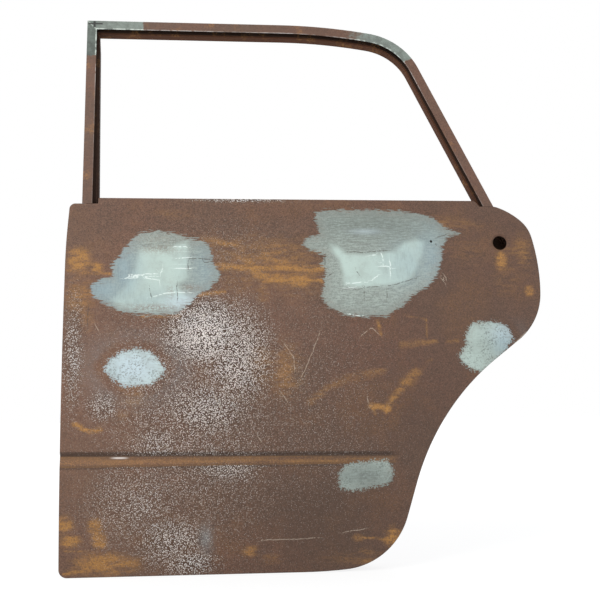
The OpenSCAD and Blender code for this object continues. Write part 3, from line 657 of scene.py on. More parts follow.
RUST_STROKES = (
    # (corners, half width, strength)
    (((5, 560), (92, 554)), 2.5, 0.75), (((257, 620), (330, 612)), 10, 0.45),
    (((285, 570), (352, 566), (420, 566), (490, 566)), 7, 0.8),
    (((345, 575), (372, 548), (452, 540)), 13, 0.7), (((447, 544), (482, 542)), 5, 1.0),
    (((252, 514), (298, 520)), 4, 0.75), (((145, 474), (215, 474)), 3, 0.7),
    (((590, 464), (596, 438)), 4, 0.5), (((640, 475), (684, 468), (684, 430)), 2.5, 0.4),
    (((636, 418), (700, 425)), 9, 0.34), (((722, 424), (745, 425)), 4, 0.5),
    (((458, 312), (490, 336)), 9, 0.4), (((490, 336), (530, 356), (596, 368)), 12, 0.3),
    (((612, 312), (640, 345)), 9, 0.5), (((640, 345), (662, 366)), 13, 0.42),
    (((662, 366), (690, 388)), 6, 0.25), (((574, 304), (606, 298)), 6, 0.9),
    (((576, 300), (580, 290)), 4, 0.8), (((604, 304), (602, 292)), 4, 0.8), (((545, 62), (610, 55)), 3, 0.5),
    (((25, 276), (52, 262), (72, 266)), 5, 0.9), (((64, 94), (74, 62)), 13, 0.9),
    (((10, 48), (90, 50)), 2, 0.5), (((10, 8), (50, 14), (108, 8)), 4, 0.6),
)
OVALS = {
    # Soft ovals as (x, z, half width, half height, strength)
    "blue": (
        (60, 525, 60, 30, 1.0), (110, 560, 30, 60, 0.9), (262, 560, 36, 60, 0.55), (100, 366, 40, 30, 0.4),
        (838, 425, 26, 36, 0.9), (700, 590, 40, 60, 0.65), (655, 575, 50, 50, 0.5), (150, 500, 80, 30, 0.4),
    ),
    "frost": (
        (132, 378, 70, 46, 1.0), (222, 500, 34, 16, 0.8), (838, 442, 34, 20, 0.4), (572, 640, 28, 5, 0.45),
        (265, 66, 12, 24, 0.6),
    ),
    "stain": (
        (165, 490, 52, 7, 0.9), (236, 528, 16, 6, 0.9), (198, 520, 7, 22, 0.5), (176, 603, 42, 9, 0.7),
        (170, 622, 60, 9, 0.35),
    ),
    "rust": (
        (26, 582, 22, 24, 0.95), (60, 566, 12, 12, 0.8), (30, 510, 34, 42, 0.5), (45, 470, 16, 28, 0.4),
        (368, 384, 32, 42, 0.42), (838, 582, 13, 22, 0.75), (866, 604, 30, 12, 0.35), (890, 522, 10, 12, 0.7),
        (415, 370, 36, 60, 0.42), (130, 330, 32, 42, 0.34), (444, 555, 60, 50, 0.42), (372, 520, 15, 26, 0.4),
        (385, 25, 25, 12, 0.36), (720, 655, 110, 20, 0.34), (884, 600, 24, 46, 0.36),
        (775, 600, 60, 44, 0.22), (845, 550, 40, 50, 0.24), (10, 94, 16, 16, 0.95), (22, 64, 20, 14, 0.8),
        (76, 24, 50, 22, 0.8), (118, 22, 38, 15, 0.6), (345, 42, 16, 12, 0.55), (112, 292, 18, 18, 0.3),
        (611, 60, 17, 18, 0.95), (545, 60, 12, 8, 0.5), (560, 24, 26, 22, 0.35), (385, 585, 120, 50, 0.42),
        (330, 540, 60, 30, 0.3), (700, 660, 110, 22, 0.25), (560, 24, 110, 18, 0.25),
        (200, 672, 60, 14, 0.25),
    ),
    # Pale specks, partly dust and bare metal and partly painted glints; the last lies along the rolled belt
    # edge
    "specks": (
        (263, 442, 88, 72, 0.92), (320, 400, 84, 124, 0.7), (262, 302, 116, 80, 0.6), (175, 240, 80, 60, 0.5),
        (303, 193, 90, 40, 0.55), (75, 309, 40, 40, 0.55), (203, 63, 90, 70, 0.56), (232, 24, 72, 34, 0.6),
        (240, 290, 230, 320, 0.42), (20, 400, 26, 150, 0.5), (140, 130, 130, 120, 0.45),
        (420, 300, 260, 320, 0.26), (520, 200, 160, 110, 0.24), (300, 600, 160, 90, 0.26),
        (330, 703, 120, 7, 0.6),
    ),
    "dull": (
        (600, 655, 170, 42, 1.0), (560, 172, 90, 40, 1.15), (805, 415, 60, 60, 0.62),
        (600, 480, 120, 26, 0.35), (250, 590, 50, 50, 0.25),
    ),
    "light": (
        (70, 300, 150, 210, 0.9), (110, 110, 90, 110, 0.8), (330, 470, 160, 80, 0.5),
    ),
    "shade": (
        (470, 110, 130, 100, 0.55), (620, 290, 110, 90, 0.3), (90, 670, 260, 50, 0.4),
    ),
}
LINES = {
    # Scratches over the primer, bright scores and black marks over the filler
    "scratch": (
        ((412, 420), (428, 395), (430, 372)), ((478, 440), (462, 400), (440, 352)),
        ((560, 438), (578, 452), (590, 440)), ((716, 549), (722, 541)), ((404, 330), (418, 310)),
        ((722, 554), (728, 547), (726, 537)), ((60, 458), (66, 446)), ((853, 419), (866, 430), (879, 441)),
        ((520, 72), (556, 76)), ((566, 318), (568, 310)), ((366, 60), (470, 62)), ((280, 330), (292, 300)),
        ((360, 250), (366, 240)),
    ),
    "score": (
        ((202, 608), (226, 608)), ((119, 553), (142, 553)), ((114, 547), (134, 547), (148, 554), (168, 555)),
        ((148, 547), (176, 543), (177, 540)), ((165, 511), (193, 519), (233, 519)), ((208, 585), (233, 587)),
        ((209, 566), (235, 565)), ((181, 565), (180, 559)), ((580, 592), (590, 594)),
        ((602, 596), (605, 581)), ((600, 571), (619, 570), (618, 581)), ((618, 570), (618, 550)),
        ((583, 545), (591, 550)), ((535, 537), (566, 539)), ((525, 527), (545, 526)),
        ((536, 477), (559, 473)),
    ),
    "mark": (
        ((233, 585), (272, 584)), ((230, 579), (230, 561)), ((260, 577), (272, 578)),
        ((158, 526), (163, 507)), ((209, 532), (211, 507)), ((566, 527), (566, 509)),
        ((610, 520), (610, 509)), ((570, 529), (620, 533), (665, 547)), ((521, 526), (568, 526)),
        ((498, 552), (503, 555)), ((492, 588), (490, 561)), ((708, 619), (712, 612), (719, 608)),
        ((713, 629), (732, 635)), ((536, 599), (566, 598), (611, 602)), ((553, 560), (556, 555)),
        ((45, 486), (46, 458)),
    ),
}


def paint_fields(piece):
    """Stores on the skin's points how far each is from the filler, rust, specks and scratches."""
    at = points_of(piece) - np.array(DRAWING_CORNER)
    p = at[:, [0, 2]]
    for name, shapes in (
        ("filler", FILLER.values()),
        ("mint", MINT),
        ("speckled", [FILLER[k] for k in ("rear", "small", "low")]),
    ):
        far = np.min([polygon_distance(p, corners) for corners in shapes], axis=0)
        store(piece, name, np.clip(far, -0.05, 0.05))
    for name, places in OVALS.items():
        values = spots(p, places)
        if name == "rust":
            for corners, half, strength in RUST_STROKES:
                far = line_distances(p, corners)[0] * 1000 / half
                values = np.maximum(values, strength * np.exp(-(far**2)))
        if name == "shade":
            # The skin darkens towards its lower rear
            values += smooth(at[:, 0] + (0.7 - at[:, 2]) * 0.5, 0.1, 0.95)
        store(piece, name, values)
    for name, lines in LINES.items():
        far, side = np.full((2, len(p)), 1.0)
        for corners in lines:
            next_far, next_side = line_distances(p, corners)
            side = np.where(next_far < far, next_side, side)
            far = np.minimum(next_far, far)
        store(piece, name, np.clip(side, -0.02, 0.02))
        store(piece, name + "_near", 1 - smooth(far, 0.008, 0.014))


# Shader nodes


class Value:
    """One output of a paint's node. A sum with it adds a further node."""

    def __init__(self, paint, socket):
        self.paint, self.socket = paint, socket

    def __add__(self, other):
        return self.paint.math("ADD", self, other)

    def __mul__(self, other):
        return self.paint.math("MULTIPLY", self, other)

    def __sub__(self, other):
        return self.paint.math("SUBTRACT", self, other)

    def __rsub__(self, other):
        return self.paint.math("SUBTRACT", other, self)

    def __abs__(self):
        return self.paint.math("ABSOLUTE", self)


class Paint:
    """A material or world whose nodes are added one after another, each joined to what feeds it."""

    def __init__(self, owner):
        self.owner = owner
        owner.use_nodes = True
        self.tree = owner.node_tree
        self.tree.nodes.clear()
        self.place = self.add("TexCoord", "Object")

    def add(self, kind, output=0, inputs=None, **settings):
        """Adds a shader node and gives one of its outputs."""
        made = len(self.tree.nodes)
        node = self.tree.nodes.new("ShaderNode" + kind)
        node.location = (made % 12 * 190, -(made // 12) * 260)
        for key, value in settings.items():
            setattr(node, key, value)
        for key, value in (inputs or {}).items():
            if isinstance(value, Value):
                self.tree.links.new(value.socket, node.inputs[key])
            else:
                node.inputs[key].default_value = value
        return Value(self, node.outputs[output])

    def end(self, kind, surface):
        node = self.tree.nodes.new("ShaderNode" + kind)
        self.tree.links.new(surface.socket, node.inputs["Surface"])

    def math(self, operation, a, b=0.0, clamp=False):
        return self.add("Math", 0, {0: a, 1: b}, operation=operation, use_clamp=clamp)

    def most(self, a, b):
        return self.math("MAXIMUM", a, b)

    def axis(self, index):
        """One object coordinate, measured from the corner of the drawing."""
        return self.add("SeparateXYZ", index, {"Vector": self.place}) - DRAWING_CORNER[index]

    def within(self, value, low, high, soft):
        """1 between two levels and 0 beyond them."""
        return self.step(value, low - soft, low) * self.step(value, high + soft, high)

    def noise(self, scale, detail=2.0, rough=0.5, vector=None):
        inputs = {"Vector": vector or self.place, "Scale": scale, "Detail": detail, "Roughness": rough}
        return self.add("TexNoise", "Fac", inputs)

    def streaks(self, detail, rough, *scales):
        """Noise scaled along each axis on its own, so that it runs in streaks."""
        stretched = self.add("Mapping", 0, {"Vector": self.place, "Scale": scales})
        return self.noise(1, detail, rough, stretched)

    def cells(self, scale):
        """A random value for each small cell."""
        found = self.add("TexVoronoi", "Color", {"Vector": self.place, "Scale": scale})
        return self.add("SeparateColor", 0, {"Color": found})

    def dots(self, scale):
        """How far the nearest of many scattered points is, in parts of their spacing."""
        return self.add("TexVoronoi", "Distance", {"Vector": self.place, "Scale": scale})

    def field(self, name):
        """A value stored on the piece's points."""
        return self.add("Attribute", "Fac", attribute_name=name)

    def step(self, value, low, high, out_low=0.0, out_high=1.0):
        """Turns a value into 0 to 1 between two levels, with soft ends."""
        inputs = {"Value": value, "From Min": low, "From Max": high, "To Min": out_low, "To Max": out_high}
        return self.add("MapRange", "Result", inputs, interpolation_type="SMOOTHSTEP")

    def mix(self, share, a, b):
        a, b = (v if isinstance(v, Value) else (*v[:3], 1.0) for v in (a, b))
        return self.add("Mix", 2, {0: share, 6: a, 7: b}, data_type="RGBA")

    def coats(self, colour, *coats):
        """A colour under further coats, each given as its share and its tone."""
        for share, tone in coats:
            colour = self.mix(share, colour, tone)
        return colour

    def seen(self):
        """1 for what the camera sees, plainly or through glass and gloss, and 0 for what only lights."""
        camera, glossy, through = (
            self.add("LightPath", "Is %s Ray" % kind) for kind in ("Camera", "Glossy", "Transmission")
        )
        return self.most(self.most(camera, glossy), through)

    def finish(self, colour, roughness, height, bump=0.5, distance=0.0004):
        bumped = self.add("Bump", 0, {"Height": height, "Strength": bump, "Distance": distance})
        inputs = {"Base Color": colour, "Roughness": roughness, "Normal": bumped, "Specular IOR Level": 0.35}
        self.end("OutputMaterial", self.add("BsdfPrincipled", 0, inputs))


def toned(colour, share):
    """A darker or brighter tone of a colour."""
    return [min(1, v * share) for v in colour]


def mottled_primer(p, light, dark, red, grain=0.5):
    """Brown primer with broad stains, mid-sized mottling, brushed streaks and a fine grain."""
    fine = p.cells(520) * 0.6 + p.noise(300, 2, 0.7) * 0.4
    colour = p.coats(
        light,
        (p.step(p.noise(5.5, 4, 0.55), 0.3, 0.7), red),
        (p.step(p.noise(46, 4, 0.6), 0.3, 0.72) * 0.42, dark),
        (p.step(p.streaks(3, 0.6, 14, 14, 240), 0.35, 0.7) * 0.16, toned(light, 1.7)),
        (p.step(fine, 0.5, 0.15) * grain, toned(dark, 0.5)),
        (p.step(fine, 0.55, 0.85) * (grain * 0.5), toned(light, 2.1)),
    )
    return colour, fine


def rusted(p, c, colour, grit):
    """Rust, in streaks and spots that break up into the primer."""
    worn = p.field("rust") * p.step(p.streaks(5, 0.66, 34, 34, 130), 0.28, 0.66, 0.35, 1.3)
    rust = p.step(worn, 0.05, 0.8) * p.step(grit, 0.2, 0.62, 0.35, 1.0)
    tone = p.mix(p.noise(150, 3, 0.6), toned(c.rust, 0.66), toned(c.rust, 1.25))
    return p.mix(rust * 0.88, colour, tone)


def swage_shade_and_wear(p, c, colour, dust):
    """The swage, with painted shade along its wall and its foot, and a rub between them that is partly rust
    and partly a painted highlight.
    """
    s = bpy.context.scene.door_skin
    low = s.swage_low
    x, z = p.axis(0), p.axis(2)
    above = z - s.swage_top + x * math.tan(s.swage_fall)
    ends = p.step(x, s.swage_end, s.swage_end - 0.03)
    slope = p.step(z, low, low + 0.003) * p.step(above, -0.0045, -0.0068)
    # The lower slope faces up: its rust tone is partly rubbed rust and partly a painted highlight, and so is
    # the golden line above the foot
    rubbed = slope * p.step(p.streaks(3, 0.6, 9, 9, 300), 0.3, 0.7, 0.02, 0.34)
    gilt = p.within(z, low + 0.0012, low + 0.0028, 0.001) * p.step(p.noise(30, 3), 0.35, 0.6)
    slope = slope * ends
    flecks = slope * p.step(dust, 0.5, 0.95)
    # Painted shade on the slope's upper part under the wall, darker still along the wall and the foot
    upper = p.within(above, -0.0105, -0.0062, 0.0045)
    foot = p.within(z, low - 0.0012, low + 0.0030, 0.0028)
    crease_shade = p.most(p.within(above, -0.0062, 0.001, 0.0022), foot * 0.72)
    # A painted glint in the groove near its front end
    glint = p.within(x, 0.103, 0.111, 0.016) * p.within(above, -0.01, -0.0092, 0.0022)
    colour = p.coats(
        colour,
        (rubbed * ends, toned(c.rust, 0.9)),
        (gilt * ends * 0.25, c.rust),
        (flecks * 0.2, toned(c.rust, 1.3)),
        (upper * ends * 0.34, toned(c.primer_dark, 0.8)),
        (crease_shade * ends * 0.6, toned(c.primer_dark, 0.34)),
        (glint * 0.75, c.speck),
    )
    return colour, slope


def speckled(p, c, colour, slope):
    """Fine pale specks on darker ground, partly dust and bare metal and partly painted glints, white where
    they are dense, with few on the swage's slope.
    """
    density = p.field("specks") * (1.0 - slope * 0.7)
    apart, bright = p.dots(450), p.cells(450)
    ground = p.step(density, 0.1, 0.8) * p.step(apart, 0.3, 0.55)
    specks = p.step(apart - density * 0.25, 0.38, 0.23) * p.step(density + bright * 0.2, 0.15, 0.68)
    tint = p.mix(p.step(p.noise(16, 3, 0.6), 0.4, 0.7, 0, 0.3), c.speck, c.frost)
    tone = p.mix(p.step(density + bright * 0.5, 0.35, 1.1), toned(c.scratch, 0.46), tint)
    chill = p.field("frost") * p.step(p.field("filler"), 0.01, 0.03)
    coats = (ground * 0.72, toned(c.primer_dark, 0.36)), (specks * 0.9, tone), (chill * 0.4, c.steel_blue)
    return p.coats(colour, *coats), specks


def filled(p, c, grit):
    """Where filler covers the skin, with ragged brushed or dotted edges, and its tone there."""
    brushed = p.streaks(4, 0.65, 60, 60, 430) - 0.5
    from_dotted = p.field("speckled")
    far_dots = p.step(from_dotted, 0.01, 0.03)
    near_dots = 1.0 - far_dots
    edge = brushed * ((far_dots * 0.8 + 0.2) * 0.034) + p.field("filler")
    edge = edge + (p.cells(460) - 0.5) * (near_dots * 0.009)
    thin = p.step(edge, -0.02, -0.001) * p.step(brushed, -0.12, 0.2)
    dull, blue = p.field("dull"), p.field("blue")
    tone = p.mix(dull, toned(c.sanded, 1.1), toned(c.sanded, 0.53))
    groove, ridge = p.mix(0.45, tone, toned(c.sanded, 0.42)), p.mix(0.28, tone, c.filler)
    tone = p.mix(p.step(brushed, -0.16, 0.16), groove, ridge)
    small_pale = p.step(from_dotted, 0.002, -0.006) * (1.0 - dull * 0.85)
    pale = p.most(p.step(p.field("mint") + brushed * 0.014, 0.005, -0.009), small_pale)
    dotted = p.step(p.cells(470), 0.55, 0.8) * p.step(pale, 0.9, 0.3)
    hatch = p.step(p.streaks(3, 0.6, 420, 60, 60), 0.5, 0.62) * blue
    stain = p.field("stain") * p.step(grit, 0.3, 0.6)
    pits = p.step(p.cells(500), 0.66, 0.82) * (near_dots * 0.9 + 0.12) * p.step(p.noise(60, 2), 0.3, 0.6)
    tone = p.coats(
        tone,
        (dotted * 0.34, toned(c.sanded, 0.4)),
        (pale, c.filler),
        (blue * 0.8, c.steel_blue),
        (hatch * 0.4, toned(c.steel_blue, 0.6)),
        (p.field("frost") * 0.85, c.frost),
        (stain * 0.7, toned(c.primer, 1.5)),
        (p.step(p.noise(34, 4, 0.6), 0.42, 0.75, 0, 0.32), toned(c.sanded, 0.78)),
        (thin * 0.4, c.primer),
        (pits * 0.6, toned(c.sanded, 0.4)),
    )
    return p.step(edge, 0.0014, -0.0014), tone


def skin_paint():
    """Brown primer of the skin with its rust, the swage's wear with its painted shade and highlights, specks
    that are partly painted glints, filler, scratches, and broad painted shade and light.
    """
    c = bpy.context.scene.door_colours
    p = Paint(bpy.data.materials.new("skin_paint"))
    colour, fine = mottled_primer(p, c.primer, c.primer_dark, c.primer_red, 0.5)
    dust = p.cells(700)
    grit = p.cells(520) * 0.5 + p.noise(260, 3, 0.7) * 0.5
    tanned = p.step(p.noise(11, 3, 0.6), 0.45, 0.72) * p.step(p.noise(320, 2, 0.7), 0.35, 0.6)
    colour = p.coats(
        colour,
        (p.step(dust, 0.4, 0.0) * 0.42, toned(c.primer_dark, 0.4)),
        (p.step(dust, 0.66, 1.0) * 0.34, toned(c.primer, 2.1)),
        (p.field("shade") * 0.46, toned(c.primer_dark, 0.7)),
        (p.field("light") * 0.3, toned(c.primer, 1.7)),
        (tanned * 0.22, toned(c.rust, 0.55)),
    )
    colour = rusted(p, c, colour, grit)
    colour, slope = swage_shade_and_wear(p, c, colour, dust)
    colour, specks = speckled(p, c, colour, slope)
    covered, tone = filled(p, c, grit)
    colour = p.mix(covered, colour, tone)
    # Thin pale scratches over the primer, bright scores and black marks over the filler
    for name, width, share, over in (
        ("scratch", 0.0007, 0.45, c.scratch),
        ("score", 0.001, 0.85, (0.8, 0.88, 0.84)),
        ("mark", 0.0009, 0.7, (0.08, 0.07, 0.06)),
    ):
        off = abs(p.field(name) + (p.noise(90, 3) - 0.5) * 0.004)
        line = p.step(off, width * 1.6, width * 0.4) * p.field(name + "_near")
        line = line * p.step(p.noise(210, 2), 0.36, 0.5)
        colour = p.mix(line * share, colour, over)
    # The face towards the cabin has the darker primer alone
    plain = mottled_primer(p, c.inner, toned(c.inner, 0.7), c.inner)[0]
    colour = p.mix(p.field("inside"), colour, plain)
    rough = p.step(fine, 0, 1, 0.52, 0.66) - specks * 0.2
    height = fine * 0.5 + covered * 0.5 + p.noise(14, 3) * 1.6
    p.finish(colour, rough, height, bump=0.6, distance=0.0005)


def frame_paint():
    """Brown primer of the window frame, with painted shade in its glass channel and its box, a worn lip that
    is partly a painted highlight, and the bare steel at its welds.
    """
    c = bpy.context.scene.door_colours
    p = Paint(bpy.data.materials.new("frame_paint"))
    colour, fine = mottled_primer(p, c.frame, toned(c.frame, 0.8), toned(c.primer_red, 0.84), 0.4)
    # Place in the section, from the outer edge towards the window and into the cabin, in metres
    u, v = p.field("across"), p.field("deep")
    x, z = p.axis(0), p.axis(2)
    # The glass channel is painted black as shade, and the lip beside it is worn to metal and partly a painted
    # highlight, brightest along the header and the bend
    side_walls = p.step(u, 0.0055, 0.0065) * p.step(v, 0.0008, 0.0016) * p.step(v, 0.0139, 0.0132)
    back_wall = p.step(u, 0.0196, 0.0182) * p.step(v, 0.013, 0.0136) * p.step(v, 0.015, 0.0144)
    channel_shade = p.most(side_walls, back_wall)
    lip = p.step(u, 0.017, 0.0184) * p.step(v, 0.0012, 0.0004)
    worn = lip * p.step(p.streaks(3, 0.6, 16, 16, 16), 0.36, 0.54)
    worn = worn * p.step(p.noise(180, 3), 0.3, 0.5) * p.step(z, 0.9, 0.99, 0.25, 1.0)
    # Painted shade: the box behind it is dark, and the front upright's box darker still where it shows from
    # outside
    box = p.step(v, 0.013, 0.0136) * (1.0 - channel_shade)
    from_front = p.most(p.step(u, 0.0205, 0.0215), p.step(v, 0.0165, 0.0155))
    upright_shade = box * p.step(x, 0.085, 0.07) * p.step(z, 1.065, 1.045) * from_front
    # Bare steel, ground back round the welded mitre and the rear bend
    ragged = (p.noise(120, 4, 0.65) - 0.5) * 0.018
    at_mitre = p.step(x + ragged, 0.136, 0.133) * p.step(z + ragged, 1.003, 1.006)
    past_bend = x * 0.5 - z * 0.87
    at_bend = p.step(x + ragged * 5, 0.552, 0.592) * p.step(past_bend + ragged, -0.5395, -0.5425)
    face = p.step(v, 0.0013, 0.0010)
    steel = p.most(at_mitre, at_bend) * face
    steel_tone = p.coats(
        toned(c.steel, 0.5),
        (p.step(p.noise(70, 5, 0.7), 0.34, 0.66), toned(c.steel, 1.2)),
        (p.step(x, 0.038, 0.05) * 0.3, c.sanded),
        (p.step(x, 0.046, 0.04) * p.step(z, 1.068, 1.052, 0, 0.55), toned(c.steel, 0.42)),
        # A pale strip along the lip's edge, partly bare metal and partly a painted highlight
        (p.step(u, 0.016, 0.0176) * p.step(p.noise(70, 3), 0.36, 0.55), (0.62, 0.68, 0.62)),
        (p.step(abs(x + z - 1.1046), 0.0026, 0.001) * 0.6, (0.5, 0.56, 0.5)),
    )
    # A small black cross stands on the mitre
    level = p.within(x, 0.0255, 0.053, 0.001) * p.within(z, 1.0742, 1.0762, 0.0011)
    upright = p.within(x, 0.0354, 0.0388, 0.0011) * p.within(z, 1.0675, 1.0805, 0.001)
    rusty = p.step(p.noise(22, 5, 0.65), 0.56, 0.7) * p.step(p.noise(260, 3), 0.35, 0.6) * (1.0 - steel)
    colour = p.coats(
        colour,
        (channel_shade * 0.9, (0.022, 0.009, 0.004)),
        (box * 0.8, (0.085, 0.028, 0.009)),
        (upright_shade * 0.8, (0.016, 0.008, 0.005)),
        (worn * 0.85, (0.5, 0.45, 0.42)),
        (steel * 0.94, steel_tone),
        (p.most(level, upright) * face * 0.9, (0.012, 0.012, 0.012)),
        (rusty * 0.36, c.rust),
    )
    rough = p.math("ADD", p.step(fine, 0, 1, 0.46, 0.62), p.most(channel_shade, box) * 0.34, clamp=True)
    p.finish(colour, rough, fine + p.noise(90, 3) * 1.2)


def inner_paint(name, tint):
    """Primer inside the door and on its brackets, with rust blooms and dusty streaks."""
    c = bpy.context.scene.door_colours
    p = Paint(bpy.data.materials.new(name))
    colour, fine = mottled_primer(p, tint, toned(tint, 0.7), [tint[0] * 1.18, tint[1], tint[2] * 0.94], 0.45)
    bloom = p.step(p.noise(9, 5, 0.62), 0.52, 0.7) * p.step(p.noise(170, 3, 0.6), 0.3, 0.6)
    dust = p.step(p.streaks(4, 0.6, 60, 60, 7), 0.55, 0.75)
    colour = p.coats(colour, (bloom * 0.6, toned(c.rust, 0.8)), (dust * 0.16, (0.42, 0.38, 0.34)))
    p.finish(colour, p.step(fine, 0, 1, 0.5, 0.7), fine + p.noise(60, 3) * 1.5)


# Pieces


class DOOR_OT_paints(bpy.types.Operator):
    """Makes the primers and worn finishes"""

    bl_idname = "door.paints"
    bl_label = "Paints"

    def execute(self, context):
        c = context.scene.door_colours
        skin_paint()
        frame_paint()
        inner_paint("inner_paint", c.inner)
        inner_paint("bracket_paint", c.bracket)
        return {"FINISHED"}


def widen(radii, x, y, z):
    """Extrudes the chosen circle through a row of radii about its middle."""
    for old, new in zip(radii, radii[1:]):
        bpy.ops.mesh.extrude_region_move()
        bpy.ops.transform.resize(value=(new / old, 1, new / old), center_override=(x, y, z))


def pierce(x, z, radii, clear, sheet, count):
    """Opens a round hole through both faces of the skin, with rings of points round it."""
    step = clear / 7
    near = step * 10.5
    cut_rows((x - near, x + near), 0)
    cut_rows((z - near, z + near), 2)

    def close_by(f):
        m = f.calc_center_median()
        return abs(m.x - x) < near and abs(m.z - z) < near

    choose(close_by, "faces")
    bpy.ops.mesh.hide(unselected=True)
    for axis, middle in ((0, x), (2, z)):
        cut_rows([middle + step * (i + 0.5) for i in range(-10, 10)], axis)
    choose(about(x, z, clear), "faces")
    bpy.ops.mesh.delete(type="FACE")
    draw_circle(x, 0, z, radii[0], count)
    widen(radii, x, 0, z)
    bpy.ops.mesh.extrude_region_move(TRANSFORM_OT_translate={"value": (0, sheet, 0)})
    widen(radii[::-1], x, sheet, z)
    for y in (0, sheet):
        choose(
            lambda e: e.is_boundary
            and abs(e.verts[0].co.y - y) < 1e-5
            and math.hypot(e.verts[0].co.x - x, e.verts[0].co.z - z) < clear * 1.4,
            "edges",
        )
        bpy.ops.mesh.fill(use_beauty=True)
    bpy.ops.mesh.reveal(select=False)


class DOOR_OT_skin(bpy.types.Operator):
    """Presses the outer skin with its folded edge, rolled belt, swage and handle holes"""

    bl_idname = "door.skin"
    bl_label = "Outer skin"

    def execute(self, context):
        s, o = context.scene.door_skin, context.scene.door_outline
        piece = start_piece("door_skin")
        bends = outline_bends()
        bend = s.hem / 2
        rings = [(bend - bend * math.sin(a), bend - bend * math.cos(a)) for a in np.linspace(0, math.pi, 9)]
        # The folded edge ends against the inside of its bend
        slit = s.sheet + 0.00005
        rings += [(s.hem_w, s.hem), (s.hem_w, s.hem - s.sheet), (slit, s.hem - s.sheet), (slit, s.sheet)]
        for number, (inset, y) in enumerate(rings, 1):
            draw_skin_ring(bends, inset, y, number)
        join_rings(len(rings), (len(rings) - 4, len(rings) - 2))
        for number in (1, len(rings)):
            choose_rings(number)
            bpy.ops.mesh.edge_face_add()
        dish = [s.button_r + share * (s.dish_r - s.button_r + 0.0006) for share in np.linspace(1, 0, 9)]
        pierce(s.button_x, s.button_z, dish, s.dish_r + 0.0021, s.sheet, 64)
        rim = [s.screw_r * share for share in (1.5, 1.2, 1)]
        pierce(s.screw_x, s.screw_z, rim, s.screw_r * 2, s.sheet, 32)
        # The holes' own points stay as they are while the rest is cut into a grid
        round_button = about(s.button_x, s.button_z, 0.0285)
        round_screw = about(s.screw_x, s.screw_z, 0.0075)
        choose(lambda f: round_button(f) or round_screw(f), "faces")
        hide_faces()
        grid, rear, off = 0.012, 0.914, 0.00001
        swage_rows = np.arange(s.swage_low - 0.006, s.swage_low + 0.006, 0.001)
        swage_end = np.arange(s.swage_end - 0.03, s.swage_end + 0.006, 0.002)
        belt_rows = np.arange(o.belt - 0.0062, o.belt, 0.0008)
        cut_rows(np.concatenate((np.arange(grid, rear, grid), swage_end)) + off, 0)
        cut_rows(np.concatenate((np.arange(grid, o.belt, grid), swage_rows, belt_rows)) + off, 2)
        cut_rows(np.arange(s.swage_top - 0.0105, s.swage_top + 0.0035, 0.001), 2, s.swage_fall)
        # Only the outer face, which carries the paint's fields, is cut finer
        choose(lambda f: all(v.co.y > s.sheet - 0.0001 for v in f.verts), "faces")
        hide_faces()
        for start in (0.004, 0.008):
            cut_rows(np.arange(start, rear, grid) + off, 0)
            cut_rows(np.arange(start, o.belt, grid) + off, 2)
        bpy.ops.mesh.reveal(select=False)
        finish_mesh()
        at = points_of(piece)
        x, z = at[:, 0], at[:, 2]
        store(piece, "inside", at[:, 1] > s.sheet / 2)
        from_button = np.hypot(x - s.button_x, z - s.button_z)
        dished = s.dish_depth * smooth(s.dish_r + 0.0006 - from_button, 0, s.dish_r - s.button_r + 0.0012)
        start = o.belt - s.roll
        rolled = s.roll - np.sqrt(np.maximum(s.roll**2 - np.clip(z - start, 0, s.roll) ** 2, 0))
        press(piece, skin_depth(z) + swage_depth(x, z) + dished + 0.6 * rolled)
        hand_over(piece, "skin_paint", "skin_primer", "outer_skin")
        paint_fields(piece)
        return {"FINISHED"}


def z_fold(wall, low, high, count):
    """Rows of a sheet that folds up along a wall and back over, as (inset, depth)."""
    r = bpy.context.scene.inner_panel.fold_r
    short = [(r * (1 - math.sin(a)), r * (1 - math.cos(a))) for a in np.linspace(0, math.pi / 2, count)]
    return [(wall - a, low + b) for a, b in short] + [(wall + b, high - a) for a, b in short]


def draw_loop(corners, ring=1, y=None, steps=None):
    """A closed loop through corners (u, v, radius) drawn anticlockwise, in X-Y, or at a depth y in X-Z."""
    axis = (0, 0, 1) if y is None else ACROSS

    def put(point):
        return (point.x, point.y, 0) if y is None else (point.x, y, point.y)

    pen = None
    for i, (u, v, r) in enumerate(corners):
        here = Vector((u, v))
        before = (Vector(corners[i - 1][:2]) - here).normalized()
        after = (Vector(corners[(i + 1) % len(corners)][:2]) - here).normalized()
        half = before.angle(after) / 2
        begin = here + before * (r / math.tan(half))
        centre = here + (before + after).normalized() * (r / math.sin(half))
        turned = -math.copysign(math.pi - 2 * half, before.cross(after))
        pen = pen or Pen(put(begin), ring)
        pen.line(put(begin))
        pen.arc(put(centre), turned, axis, steps)
    pen.close()


def grown(corners, grow):
    """Corners of a shape drawn anticlockwise, in metres, moved outwards by a distance."""
    moved = []
    for i, (u, v, r) in enumerate(corners):
        here = Vector((u, v))
        first = (here - Vector(corners[i - 1][:2])).normalized()
        second = (Vector(corners[(i + 1) % len(corners)][:2]) - here).normalized()
        outward = Vector((first.y, -first.x)) + Vector((second.y, -second.x))
        here += outward * grow / (1 + first.dot(second))
        moved.append((here.x, here.y, r + grow))
    return moved


def pressed_face(corners, y, folds):
    """A flat face towards the cabin whose middle is pressed in, step by step."""
    draw_loop(corners, y=y)
    pick("verts")
    bpy.ops.mesh.edge_face_add()
    if sum(f.normal.y for f in edit_mesh().faces if f.select) < 0:
        bpy.ops.mesh.flip_normals()
    pick("faces")
    for inwards, down in folds:
        bpy.ops.mesh.inset(thickness=inwards, depth=-down)


def fold(radius, start, end, count=4):
    """Steps of a rounded fold between two steepnesses, as (inwards, down)."""
    angles = [math.radians(v) for v in np.linspace(start, end, count + 1)]
    sign = 1 if end > start else -1
    return [
        (radius * abs(math.sin(b) - math.sin(a)), radius * sign * (math.cos(a) - math.cos(b)))
        for a, b in zip(angles, angles[1:])
    ]


